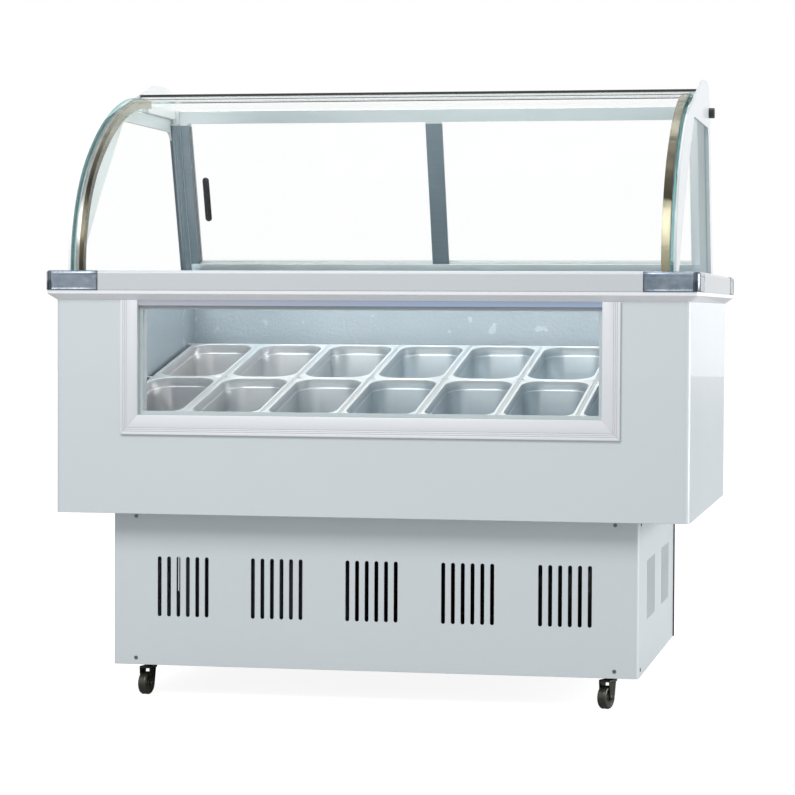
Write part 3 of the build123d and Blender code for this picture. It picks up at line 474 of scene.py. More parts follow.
# Painted reflection: dark bands in the colour where the corner curves.
reflection_darkness = color_ramp(corner_bands, turned, [
    (position, (level, level, level))
    for position, level in ((0.05, 0.0), (0.16, 0.9), (0.26, 0.25), (0.38, 1.0), (0.5, 0.2))])
corner_bands.links.new(blend_colors(corner_bands, reflection_darkness, start.outputs["Color"],
                                    (0.015, 0.018, 0.035, 1.0)), end.inputs["Color"])
finishes["polished_cap"] = finish("polished_cap", rolled, (0.34, 0.40, 0.46), (0.12, 0.16, 0.22),
                                  0.20, metallic=0.8, bump=0.05, depth=0.45,
                                  squeeze=(60.0, 60.0, 90.0), radius=0.002)
repaint(finishes["polished_cap"], corner_bands)
print("made", corner_bands.name)

# %% [markdown]
# ### Polished arches
# The two arches are painted with reflections that run from dark bronze to a bright cream foot, the
# cream a painted highlight. The tone goes by the height above the counter, a little wavered by a
# noise, and the right arch is painted brighter than the left one, as painted light. The left one's
# outermost strip faces the room and is painted plain silver, a painted reflection of the room.

# %% Polished arches
arch_low, arch_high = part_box("arch_tubes")
room_reflection_width = 0.008
arch_bands, start, end = tone_group("arch_bands")
waver = noise(arch_bands, arch_bands.nodes.new("ShaderNodeTexCoord").outputs["Object"], 16.0, 3.0)
waver = calculate(arch_bands, "SUBTRACT", waver.outputs[0], 0.5)
level = calculate(
    arch_bands, "ADD",
    share_between(arch_bands, coordinate(arch_bands, "Z"), arch_low[2], arch_high[2]),
    calculate(arch_bands, "MULTIPLY", waver, 0.12))
cream_highlight, bronze, pale = (0.42, 0.39, 0.27), (0.055, 0.045, 0.024), (0.50, 0.49, 0.40)
# Painted reflections: the right arch lit, with a cream painted highlight at its foot; the left one shaded.
lit_arch_reflection = color_ramp(arch_bands, level, (
    (0.0, (0.42, 0.38, 0.26)), (0.06, cream_highlight), (0.36, cream_highlight), (0.375, bronze),
    (0.50, (0.16, 0.14, 0.09)), (0.62, bronze), (0.74, (0.25, 0.23, 0.16)), (0.92, pale)))
shaded_arch_reflection = color_ramp(arch_bands, level, (
    (0.0, (0.012, 0.010, 0.006)), (0.10, (0.08, 0.068, 0.034)), (0.36, (0.05, 0.042, 0.02)),
    (0.45, (0.018, 0.015, 0.008)), (0.66, (0.12, 0.11, 0.075)), (0.92, pale)))
sideways_place = coordinate(arch_bands, "X")
right_half = calculate(arch_bands, "GREATER_THAN", sideways_place, 0.0)
room_reflection_strip = calculate(arch_bands, "LESS_THAN", sideways_place, arch_low[0] + room_reflection_width)
shaded_arch_reflection = blend_colors(arch_bands, room_reflection_strip, shaded_arch_reflection, (0.46, 0.48, 0.47, 1.0))
banded = blend_colors(arch_bands, right_half, shaded_arch_reflection, lit_arch_reflection)
keep = arch_bands.nodes.new("ShaderNodeValue")
keep.outputs[0].default_value = 0.94
arch_bands.links.new(blend_colors(arch_bands, keep.outputs[0], start.outputs["Color"], banded),
                     end.inputs["Color"])
finishes["polished_arch"] = finish("polished_arch", rolled, (0.56, 0.52, 0.42), (0.16, 0.14, 0.09),
                                   0.22, metallic=0.6, bump=0.02, depth=0.35,
                                   squeeze=(10.0, 4.0, 7.0), radius=0.002)
repaint(finishes["polished_arch"], arch_bands)
print("arch from", round(arch_low[2], 3), "to", round(arch_high[2], 3))

# %% [markdown]
# ### Tones by place, mostly painted light and shade
# The rear frame's top rail is painted paler than its posts as painted light, the jamb behind the
# right door is painted paler still as painted light, and the sill brightens from its foot up, a
# painted shade at its foot. The far bracket is painted whiter as painted light, and the white band's
# side faces darker as painted shade. The bar that holds the bent glass is white with a black seal on
# top. Each of these is one colour below a bound and another above it.


# %% Tones by place
def place_tone(name, read, bounds, tones):
    """A tone group: one colour below bounds[0], the other above bounds[1], of what read gives.

    read is ("place" or "normal", axis), and a tone of None keeps the finish's own colour.
    """
    group, start, end = tone_group(name)
    share = share_between(group, coordinate(group, read[1], of_normal=read[0] == "normal"), *bounds)
    low_tone, high_tone = [start.outputs["Color"] if tone is None else (*tone, 1.0) for tone in tones]
    group.links.new(blend_colors(group, share, low_tone, high_tone), end.inputs["Color"])
    return group


top_rail, sill_height, seal_height, blend_height = 0.034, 0.024, 0.006, 0.0002
# Painted light: the top rail is painted paler than the posts.
rail_tone, start, end = tone_group("rail_tone")
over = calculate(rail_tone, "GREATER_THAN", coordinate(rail_tone, "Z"),
                 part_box("rear_frame")[1][2] - top_rail)
rail_tone.links.new(blend_colors(rail_tone, over, start.outputs["Color"], (0.58, 0.64, 0.65, 1.0)),
                    end.inputs["Color"])
repaint(finishes["frame_alu"], rail_tone)

counter_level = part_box("end_brackets")[0][2]
door_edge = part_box("sliding_door_right")[1][0]
bar_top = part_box("canopy_hinge_bar")[1][2]
# Painted light: the frame behind the right door is painted paler.
repaint(finishes["frame_alu"], place_tone(
    "right_jamb", ("place", "X"), (door_edge - 0.030, door_edge - 0.010), (None, (0.80, 0.84, 0.85))))
# Painted light: the far bracket on the left is painted whiter.
repaint(finishes["white_bracket"], place_tone(
    "far_bracket", ("place", "X"), (-0.30, 0.30), ((0.93, 0.95, 0.95), None)))
# Painted shade: the band's faces that look to the side are painted darker.
repaint(finishes["white_band"], place_tone(
    "band_end", ("normal", "X"), (0.6, 0.9), (None, (0.45, 0.48, 0.50))))
finishes["sill_alu"] = finish("sill_alu", rolled, (0.5, 0.5, 0.5), (0.4, 0.4, 0.4), 0.34, metallic=0.6,
                              bump=0.03, depth=0.25, squeeze=(5.0, 260.0, 260.0))
# Painted shade: the sill is painted darker at its foot.
repaint(finishes["sill_alu"], place_tone(
    "sill_rise", ("place", "Z"), (counter_level, counter_level + sill_height),
    ((0.26, 0.33, 0.34), (0.62, 0.67, 0.68))))
finishes["seal_bar"] = finish("seal_bar", unevenness, (0.5, 0.5, 0.5), (0.4, 0.4, 0.4), 0.35,
                              bump=0.02, drift=0.4)
repaint(finishes["seal_bar"], place_tone(
    "seal_line", ("place", "Z"),
    (bar_top - seal_height - blend_height, bar_top - seal_height + blend_height),
    ((0.95, 0.97, 0.97), (0.012, 0.012, 0.014))))
print("counter at", round(counter_level, 3), "seal from", round(bar_top - seal_height, 4))

# %% [markdown]
# ### The window's spacer
# Between the two panes runs a pale spacer, and above it a strip that goes from mauve grey on the
# left to blue on the right. One material holds both: the strip starts at the height where the panes
# end.

# %% Spacer
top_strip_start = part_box("window_panes")[1][2] - 0.001
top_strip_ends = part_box("window_spacer")
finishes["spacer_alu"] = finish("spacer_alu", unevenness, (0.66, 0.71, 0.74), (0.56, 0.62, 0.66),
                                0.4, bump=0.02, drift=0.4, dust=0.0)
top_strip, start, end = tone_group("film_strip")
sweep = share_between(top_strip, coordinate(top_strip, "X"), top_strip_ends[0][0], top_strip_ends[1][0] * 0.2)
shade = blend_colors(top_strip, sweep, (0.50, 0.50, 0.56, 1.0), (0.36, 0.45, 0.62, 1.0))
above = calculate(top_strip, "GREATER_THAN", coordinate(top_strip, "Z"), top_strip_start)
top_strip.links.new(blend_colors(top_strip, above, start.outputs["Color"], shade), end.inputs["Color"])
repaint(finishes["spacer_alu"], top_strip)
print("made", top_strip.name)

# %% [markdown]
# ### Dark parts
# Rubber, moulded plastic and black coat differ in gloss more than in colour.

# %% Darks
finishes["black_rubber"] = finish("black_rubber", unevenness, (0.022, 0.024, 0.028),
                                  (0.05, 0.05, 0.055), 0.5, bump=0.15, drift=0.5,
                                  edge=(0.16, 0.16, 0.17, 1.0))
finishes["black_grille"] = finish("black_grille", unevenness, (0.012, 0.013, 0.015),
                                  (0.03, 0.03, 0.032), 0.45, bump=0.1, drift=0.5,
                                  edge=(0.12, 0.12, 0.13, 1.0))
finishes["black_paint"] = finish("black_paint", unevenness, (0.012, 0.012, 0.013),
                                 (0.03, 0.03, 0.03), 0.3, coat=0.3, drift=0.5, dust=0.3,
                                 edge=(0.14, 0.14, 0.14, 1.0))
finishes["fan_plastic"] = finish("fan_plastic", unevenness, (0.03, 0.032, 0.035),
                                 (0.05, 0.05, 0.055), 0.5, drift=0.5, dust=0.3,
                                 edge=(0.12, 0.12, 0.13, 1.0))
finishes["wheel_black"] = finish("wheel_black", unevenness, (0.038, 0.036, 0.020),
                                 (0.014, 0.014, 0.009), 0.34, coat=0.2, bump=0.08, drift=0.9,
                                 grain_size=120.0, edge=(0.11, 0.11, 0.08, 1.0))
print("finishes", len(finishes))

# %% [markdown]
# ### Embossed liner
# The tub is bright sheet with a stucco pattern that scatters light like frost. A cell pattern
# gives the small facets, and its edges give the bump. Lighter spots in its colour are painted
# glints.

# %% Liner
liner = bpy.data.materials.new("liner_steel")
liner.use_nodes = True
tree = liner.node_tree
shader = tree.nodes["Principled BSDF"]
place = tree.nodes.new("ShaderNodeTexCoord").outputs["Object"]
cells = tree.nodes.new("ShaderNodeTexVoronoi")
cells.inputs["Scale"].default_value = 120.0
tree.links.new(place, cells.inputs["Vector"])
frost = noise(tree, place, 22.0, 6.0)
clouds = noise(tree, place, 3.0, 2.0)
tone = blend_colors(tree, clouds.outputs[0], (0.42, 0.50, 0.56, 1.0), (0.54, 0.60, 0.65, 1.0))
# Painted glints: lighter spots in the colour.
painted_glints = calculate(tree, "GREATER_THAN", frost.outputs[0], 0.66)
tree.links.new(blend_colors(tree, calculate(tree, "MULTIPLY", painted_glints, 0.35), tone,
                            (0.86, 0.92, 0.92, 1.0)), shader.inputs["Base Color"])
tree.links.new(calculate(tree, "ADD", calculate(tree, "MULTIPLY", cells.outputs["Distance"], 0.3), 0.36),
               shader.inputs["Roughness"])
relief = tree.nodes.new("ShaderNodeBump")
relief.inputs["Strength"].default_value = 0.25
relief.inputs["Distance"].default_value = 0.001
tree.links.new(calculate(tree, "ADD", cells.outputs["Distance"], frost.outputs[0]),
               relief.inputs["Height"])
tree.links.new(relief.outputs["Normal"], shader.inputs["Normal"])
shader.inputs["Metallic"].default_value = 0.45
finishes["liner_steel"] = liner
print("made", liner.name)

# %% [markdown]
# ### Glass
# Sheet glass is almost invisible across its faces and sea-green through its cut edges. Each pane
# says which way its broad faces look; every other face is a cut edge and gets the tint. Lamp rays
# pass straight through, as they do through real clean glass.


# %% Glass
def sheet_glass(name, edge_axis, edge_is_along, bend=1.12, ends=None):
    """Clear glass whose cut edges are the faces that look along edge_axis, or away from it.

    ends is the distance from the middle at which the tint of a ground end begins.
    """
    material = bpy.data.materials.new(name)
    material.use_nodes = True
    tree = material.node_tree
    shader = tree.nodes["Principled BSDF"]
    output = tree.nodes["Material Output"]
    facing = tree.nodes.new("ShaderNodeNewGeometry")
    parts = tree.nodes.new("ShaderNodeSeparateXYZ")
    tree.links.new(facing.outputs["True Normal"], parts.inputs[0])
    part = calculate(tree, "ABSOLUTE", parts.outputs[edge_axis], 0.0)
    cut = calculate(tree, "GREATER_THAN" if edge_is_along else "LESS_THAN", part, 0.7)
    place = tree.nodes.new("ShaderNodeTexCoord").outputs["Object"]
    if ends is not None:
        spot = tree.nodes.new("ShaderNodeSeparateXYZ")
        tree.links.new(place, spot.inputs[0])
        far = calculate(tree, "GREATER_THAN", calculate(tree, "ABSOLUTE", spot.outputs["X"], 0.0), ends)
        cut = calculate(tree, "MAXIMUM", cut, far)
    streaks = noise(tree, place, 14.0, 3.0)
    edge = blend_colors(tree, streaks.outputs[0], (0.34, 0.56, 0.58, 1.0), (0.52, 0.70, 0.70, 1.0))
    clear = blend_colors(tree, streaks.outputs[0], (0.985, 0.995, 0.99, 1.0), (1.0, 1.0, 1.0, 1.0))
    tree.links.new(blend_colors(tree, cut, clear, edge), shader.inputs["Base Color"])
    smear = calculate(tree, "MULTIPLY", streaks.outputs[0], 0.02)
    tree.links.new(smear, shader.inputs["Roughness"])
    shader.inputs["Transmission Weight"].default_value = 1.0
    shader.inputs["IOR"].default_value = bend
    passing = tree.nodes.new("ShaderNodeBsdfTransparent")
    passing.inputs["Color"].default_value = (0.95, 0.97, 0.965, 1.0)
    rays = tree.nodes.new("ShaderNodeLightPath")
    unseen = calculate(tree, "MAXIMUM", rays.outputs["Is Shadow Ray"], rays.outputs["Is Diffuse Ray"])
    either = tree.nodes.new("ShaderNodeMixShader")
    tree.links.new(unseen, either.inputs[0])
    tree.links.new(shader.outputs[0], either.inputs[1])
    tree.links.new(passing.outputs[0], either.inputs[2])
    tree.links.new(either.outputs[0], output.inputs["Surface"])
    return material


finishes["clear_glass"] = sheet_glass("clear_glass", "X", True)
sheets = {"side_glass": sheet_glass("side_sheet", "X", False, bend=1.003),
          "top_glass": sheet_glass("top_sheet", "X", True, bend=1.004),
          "canopy_glass": sheet_glass("bent_sheet", "X", True, bend=1.006,
                                      ends=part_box("canopy_glass")[1][0] - 0.007)}
print("glass", [sheet.name for sheet in sheets.values()])

# %% [markdown]
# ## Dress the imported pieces
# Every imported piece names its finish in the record, so one loop gives each its material.

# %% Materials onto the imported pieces
slot_of = {part["node"]: part["material_slot"] for part in frame["record"]["subparts"]}
own_finish = {**sheets, "rear_sill": finishes["sill_alu"], "canopy_hinge_bar": finishes["seal_bar"]}
for name, piece in nodes.items():
    for place in piece.material_slots:
        place.material = own_finish.get(name, finishes[slot_of[name]])
print("dressed", len(nodes))

# %% [markdown]
# ## Helpers for hand modelling
# New pieces are shaped as at the keyboard: add a primitive, enter edit mode, pick faces or edges
# by their place or direction, and run an operator on them.


# %% Select and cut
def make_active(piece):
    """Select the piece alone."""
    bpy.ops.object.select_all(action="DESELECT")
    piece.select_set(True)
    bpy.context.view_layer.objects.active = piece


def begin_edit(piece):
    """Enter edit mode on the piece with nothing selected."""
    make_active(piece)
    bpy.ops.object.mode_set(mode="EDIT")
    bpy.ops.mesh.select_all(action="DESELECT")


def end_edit():
    """Back to object mode."""
    bpy.ops.object.mode_set(mode="OBJECT")


def pick(kind, test):
    """Select the faces or edges for which test(element) is true."""
    bpy.ops.mesh.select_mode(type="FACE" if kind == "faces" else "EDGE")
    mesh = bmesh.from_edit_mesh(bpy.context.active_object.data)
    mesh.normal_update()
    for element in (*mesh.faces, *mesh.edges, *mesh.verts):
        element.select = False
    for element in [e for e in getattr(mesh, kind) if test(e)]:
        element.select = True
    mesh.select_flush_mode()
    bmesh.update_edit_mesh(bpy.context.active_object.data)


def centre_of(edge):
    """The middle of an edge."""
    return (edge.verts[0].co + edge.verts[1].co) / 2


def along(edge, axis):
    """True where the edge runs along that axis."""
    direction = (edge.verts[1].co - edge.verts[0].co).normalized()
    return abs(direction[axis]) > 0.99


def cut_at(axis, level):
    """Cut every face of the mesh in the plane at that level of an axis."""
    point, normal = [0.0, 0.0, 0.0], [0.0, 0.0, 0.0]
    point[axis] = level
    normal[axis] = 1.0
    bpy.ops.mesh.select_all(action="SELECT")
    bpy.ops.mesh.bisect(plane_co=point, plane_no=normal)


def extrude(x, y, z):
    """Extrude what is selected by a distance along each axis."""
    bpy.ops.mesh.extrude_region_move(TRANSFORM_OT_translate={"value": (x, y, z)})


print("selecting and cutting ready")

# %% [markdown]
# A piece starts as a box at its place and ends with fine bevels and smooth shading. A bevel can
# leave points on top of each other, so they are merged before the shading is set.


# %% Start and finish a piece
def start_box(name, low, high):
    """A cube primitive stretched between two corners, its place in its mesh."""
    size = [b - a for a, b in zip(low, high)]
    middle_spot = [(a + b) / 2 for a, b in zip(low, high)]
    bpy.ops.object.select_all(action="DESELECT")
    bpy.ops.mesh.primitive_cube_add(size=1.0, location=middle_spot, scale=size)
    piece = bpy.context.active_object
    piece.name = name
    bpy.ops.object.transform_apply(location=True, rotation=True, scale=True)
    return piece


def apply_modifier(piece, kind, **settings):
    """Add a modifier with its settings and apply it."""
    make_active(piece)
    modifier = piece.modifiers.new(kind.lower(), kind)
    for label, value in settings.items():
        setattr(modifier, label, value)
    bpy.ops.object.modifier_apply(modifier=modifier.name)


def soften(piece, width, angle, segments=2):
    """A fine bevel on every edge sharper than the angle."""
    apply_modifier(piece, "BEVEL", width=width, segments=segments, limit_method="ANGLE",
                   angle_limit=radians(angle))


merge_reach = 1.5e-7


def smooth(piece, angle=35.0):
    """Merge points that lie on top of each other, then shade smooth up to an angle."""
    begin_edit(piece)
    bpy.ops.mesh.select_all(action="SELECT")
    bpy.ops.mesh.remove_doubles(threshold=merge_reach)
    end_edit()
    make_active(piece)
    bpy.ops.object.shade_smooth_by_angle(angle=radians(angle))


print("starting and finishing ready")

# %% [markdown]
# What repeats is modelled once and copied, each copy with its own mesh. Every piece then gets its
# material, the body it moves with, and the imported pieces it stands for.


# %% Copy and dress a piece
def copy_piece(piece, name, matrix):
    """A copy with its own mesh, moved in its mesh."""
    twin = piece.copy()
    twin.data = piece.data.copy()
    twin.name = name
    twin.data.transform(matrix)
    bpy.context.scene.collection.objects.link(twin)
    return twin


sideways, endways = Vector((1.0, 0.0, 0.0)), Vector((0.0, 1.0, 0.0))


def mirrored_copy(piece, name, axes):
    """A copy mirrored through the middle of the cabinet along each of the axes named."""
    matrix = Matrix.Identity(4)
    for axis in axes:
        matrix = Matrix.Scale(-1.0, 4, axis) @ matrix
    twin = copy_piece(piece, name, matrix)
    if len(axes) % 2:
        twin.data.flip_normals()
    return twin


def dress(piece, material, body, slot_name, *replaced):
    """Give the piece its material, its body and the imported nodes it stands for."""
    piece.data.materials.clear()
    piece.data.materials.append(material)
    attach(piece, body)
    if replaced:
        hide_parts(*replaced)


print("copying and dressing ready")

# %% [markdown]
# ## The pans
# Each pan is drawn from one sheet: a wide flat rim, a wall that steps in a finger's width below
# it, and a bottom with a soft foot. One face is inset and pushed down in the same order, the
# outside is thrown away, and the sheet then gets its thickness. One pan is modelled, and the
# other thirteen are copies laid on the tilted rails.

# %% Model one pan
pan_names = sorted(name for name in nodes if name.startswith("pan_") and name != "pan_rails")
first_low, first_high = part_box(pan_names[0])
pan_width = first_high[0] - first_low[0]
pan_length = 0.360
rim_width, outer_corner, inner_corner = 0.0065, 0.010, 0.0485
upper_wall, lower_wall, sheet = 0.0203, 0.0839, 0.001
foot_steps = ((0.0062, 0.002), (0.0045, 0.004), (0.0020, 0.006))


def keep_top_outline(corner):
    """In edit mode: round the upright edges of a box, then keep only its top face's outline."""
    pick("edges", lambda e: along(e, 2))
    bpy.ops.mesh.bevel(offset=corner, segments=12, affect="EDGES")
    pick("faces", lambda f: f.normal.z < 0.9)
    bpy.ops.mesh.delete(type="FACE")
    pick("faces", lambda f: True)
    bpy.ops.mesh.delete(type="ONLY_FACE")


pan = start_box("pan", (-pan_width / 2, -pan_length / 2, -0.02), (pan_width / 2, pan_length / 2, 0.0))
begin_edit(pan)
keep_top_outline(outer_corner)
opening = pan_width / 2 - rim_width, pan_length / 2 - rim_width
bpy.ops.mesh.primitive_cube_add(size=1.0, location=(0.0, 0.0, -0.01),
                                scale=(2 * opening[0], 2 * opening[1], 0.02))
keep_top_outline(inner_corner)
pick("edges", lambda e: True)
bpy.ops.mesh.bridge_edge_loops()
pick("edges", lambda e: e.is_boundary and all(
    abs(v.co.x) < opening[0] + 1e-5 and abs(v.co.y) < opening[1] + 1e-5 for v in e.verts))
bpy.ops.mesh.edge_face_add()
pick("faces", lambda f: len(f.verts) > 20)
bpy.ops.mesh.inset(thickness=0.0009, depth=-0.0009)
extrude(0.0, 0.0, -upper_wall)
bpy.ops.mesh.inset(thickness=0.0018, depth=-0.0009)
extrude(0.0, 0.0, -lower_wall)
for fall, narrowing in foot_steps:
    bpy.ops.mesh.inset(thickness=narrowing, depth=-fall)
pick("faces", lambda f: True)
bpy.ops.mesh.normals_make_consistent(inside=False)
end_edit()
if sum(face.normal.z * face.area for face in pan.data.polygons) < 0.0:
    pan.data.flip_normals()
apply_modifier(pan, "SOLIDIFY", thickness=sheet, offset=-1.0)
soften(pan, 0.0003, 60, segments=1)
smooth(pan, 40.0)
print("pan faces", len(pan.data.polygons), "size", tuple(round(v, 3) for v in pan.dimensions))

# %% Lay out the pans
for name in pan_names:
    low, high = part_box(name)
    normal = Vector(joints[name + "_lift"]["axis"])
    tilt = atan2(-normal.y, normal.z)
    spot = Vector(((low[0] + high[0]) / 2, low[1] + pan_length / 2 * cos(tilt),
                   high[2] - pan_length / 2 * sin(tilt)))
    seat = Matrix.Translation(spot) @ Matrix.Rotation(tilt, 4, "X")
    twin = copy_piece(pan, name + "_pressed", seat)
    dress(twin, finishes["pan_steel"], name, "pan_steel", name)
bpy.data.objects.remove(pan)
rim_plane = normal.normalized()
rim_distance = spot.dot(rim_plane)
print("pans", len(pan_names), "tilt", round(tilt, 4))

# %% [markdown]
# Looked at from the front, a pan's rim is bright and its inside is painted a dim grey as painted
# shade, warmer towards the left of the cabinet and bluer towards the right. The rims all lie in one
# tilted plane, so how far a point is under that plane says whether it is rim or inside.

# %% Painted shade in the pans' insides
rim_depth, shade_depth = 0.0016, 0.0160
inside_tone, start, end = tone_group("inside_tone")
across = inside_tone.nodes.new("ShaderNodeVectorMath")
across.operation = "DOT_PRODUCT"
across.inputs[1].default_value = rim_plane
inside_tone.links.new(inside_tone.nodes.new("ShaderNodeTexCoord").outputs["Object"], across.inputs[0])
depth_in = share_between(inside_tone, across.outputs["Value"],
                         rim_distance - rim_depth, rim_distance - shade_depth)
towards_right = share_between(inside_tone, coordinate(inside_tone, "X"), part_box("pan_rails")[0][0], 0.0)
# Painted shade: the pans' insides are painted dim grey below the rims.
dim = blend_colors(inside_tone, towards_right, (0.60, 0.59, 0.60, 1.0), (0.50, 0.56, 0.60, 1.0))
inside_tone.links.new(blend_colors(inside_tone, depth_in, start.outputs["Color"], dim),
                      end.inputs["Color"])
repaint(finishes["pan_steel"], inside_tone)
print("rims lie", round(rim_distance, 3), "along", tuple(round(v, 3) for v in rim_plane))

# %% [markdown]
# ## The divider bars
# Between neighbouring pans lies a bright folded strip that closes the gap, with a fine groove down
# its middle. One is drawn flat at the origin, laid in the plane of the rims and repeated.

# %% Model one divider and repeat it
rail_low, rail_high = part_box("pan_rails")
bar_length = (rail_high[1] - rail_low[1]) / cos(tilt) - 0.012
columns = sorted({round((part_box(name)[0][0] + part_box(name)[1][0]) / 2, 5) for name in pan_names})
gap = columns[1] - columns[0] - pan_width
bar_clearance, bar_bottom, bar_top_face, half_groove, groove_depth = 0.0008, -0.0011, -0.0001, 0.0005, 0.0007
bar = start_box("divider", (-gap / 2 + bar_clearance, -bar_length / 2, bar_bottom),
                (gap / 2 - bar_clearance, bar_length / 2, bar_top_face))
begin_edit(bar)
for offset in (-half_groove, half_groove):
    cut_at(0, offset)
pick("faces", lambda f: f.normal.z > 0.9 and abs(f.calc_center_median().x) < half_groove)
extrude(0.0, 0.0, -groove_depth)
pick("edges", lambda e: along(e, 1) and abs(centre_of(e).x) > gap / 2 - 0.001
     and centre_of(e).z > -0.0005)
bpy.ops.mesh.bevel(offset=0.0004, segments=2, affect="EDGES")
end_edit()
smooth(bar, 35.0)
rail_middle = (rail_low[1] + rail_high[1]) / 2
rise_here = (rim_distance - rim_plane.y * rail_middle) / rim_plane.z
for left, right in zip(columns, columns[1:]):
    seat = Matrix.Translation(((left + right) / 2, rail_middle, rise_here)) @ Matrix.Rotation(tilt, 4, "X")
    twin = copy_piece(bar, f"divider_{columns.index(right)}", seat)
    dress(twin, finishes["rail_steel"], "cabinet", "rail_steel")
bpy.data.objects.remove(bar)
print("dividers", len(columns) - 1, "gap", round(gap, 4))

# %% [markdown]
# ## The window's frame
# The frame round the front window is an extruded plastic profile: a flat face with three shallow
# grooves near its outer edge and a thin lower step outside them. Each leg is a box with its front
# face cut into strips by bisecting, and the groove strips are pushed in.


# %% Grooved leg
def grooved_leg(name, low, high, axis, outer_sign, grooves, depth):
    """A leg whose front face has grooves running its length, at distances from its outer edge.

    axis is the direction the grooves are spaced along: 0 for a side leg, 2 for the bottom one.
    """
    leg = start_box(name, low, high)
    begin_edit(leg)
    outer = high[axis] if outer_sign > 0 else low[axis]
    for offset in grooves:
        cut_at(axis, outer - outer_sign * offset)
    strips = list(zip(grooves[0::2], grooves[1::2]))

    def in_groove(face):
        away = (outer - face.calc_center_median()[axis]) * outer_sign
        return face.normal.y < -0.9 and any(a < away < b for a, b in strips)

    pick("faces", in_groove)
    extrude(0.0, depth, 0.0)
    end_edit()
    return leg


print("grooved leg ready")

# %% [markdown]
# The side legs meet the bottom one at a mitre, so both are cut along the same slanted plane, and
# the cut is filled. A fine bevel then softens the extrusion's edges, which is what makes the
# mitre show as a thin line.

# %% Model the frame's three legs
side_low, side_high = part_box("window_frame_sides")
base_low, base_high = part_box("window_frame_bottom")
pane_low, pane_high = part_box("window_panes")
groove_edges, groove_depth = (0.006, 0.0068, 0.0098, 0.0106, 0.0136, 0.0144), 0.0008
jamb_width, flange = 0.012, 0.006


def window_leg(name, low, high, axis, outer_sign, back, mitres):
    """A grooved leg with a jamb reaching back along its inner edge, cut at its mitres."""
    leg = grooved_leg(name, low, high, axis, outer_sign, groove_edges, groove_depth)
    begin_edit(leg)
    inner = low[axis] if outer_sign > 0 else high[axis]
    cut_at(axis, inner + outer_sign * jamb_width)
    pick("faces", lambda f: f.normal.y > 0.9
         and abs(f.calc_center_median()[axis] - inner) < jamb_width)
    extrude(0.0, back - high[1], 0.0)
    for point, away in mitres:
        bpy.ops.mesh.select_all(action="SELECT")
        bpy.ops.mesh.bisect(plane_co=point, plane_no=away, clear_outer=True, use_fill=True)
    end_edit()
    soften(leg, 0.0006, 40)
    smooth(leg, 40.0)
    return leg


flange_back = base_low[1] + flange
inner_x, inner_z = pane_high[0], pane_low[2]
outer_x, outer_z = side_high[0], base_low[2]
slant = Vector((outer_z - inner_z, 0.0, -(outer_x - inner_x))).normalized()
right_leg = window_leg("window_leg_right", (inner_x, side_low[1], outer_z),
                       (outer_x, flange_back, side_high[2]), 0, 1, side_high[1],
                       [((inner_x, 0.0, inner_z), (slant.x, 0.0, slant.z))])
left_leg = window_leg("window_leg_left", (-outer_x, side_low[1], outer_z),
                      (-inner_x, flange_back, side_high[2]), 0, -1, side_high[1],
                      [((-inner_x, 0.0, inner_z), (-slant.x, 0.0, slant.z))])
bottom_leg = window_leg("window_leg_bottom", (-outer_x, base_low[1], outer_z),
                        (outer_x, flange_back, inner_z), 2, -1, base_high[1],
                        [((inner_x, 0.0, inner_z), (-slant.x, 0.0, -slant.z)),
                         ((-inner_x, 0.0, inner_z), (slant.x, 0.0, -slant.z))])
for leg in (right_leg, left_leg):
    dress(leg, finishes["pvc_frame"], "cabinet", "pvc_frame", "window_frame_sides")
dress(bottom_leg, finishes["pvc_frame"], "cabinet", "pvc_frame", "window_frame_bottom")
for leg in (right_leg, left_leg, bottom_leg):
    print(leg.name, [round(v, 3) for v in leg.dimensions], len(leg.data.polygons))

# %% [markdown]
# ## The corner caps
# Each corner of the counter wears a pressed cap of polished metal. It turns the corner with
# a tight radius, its top edge is softly rounded, and each leg carries a slightly sunk panel with a
# thin border. A box gets the corner notch cut away over the well, then the radius, then the panel.
# The rear caps are a little narrower over the well, and the left ones are mirrored.


# %% Model a cap
cap_low, cap_high = (Vector(corner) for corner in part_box("corner_caps_front"))
leg_length = cap_high[1] - cap_low[1]
hair = 0.0001
cap_low.y += hair
cap_high.x -= hair
corner_radius, top_radius = 0.015, 0.006
panel_border, panel_step = 0.003, 0.0006


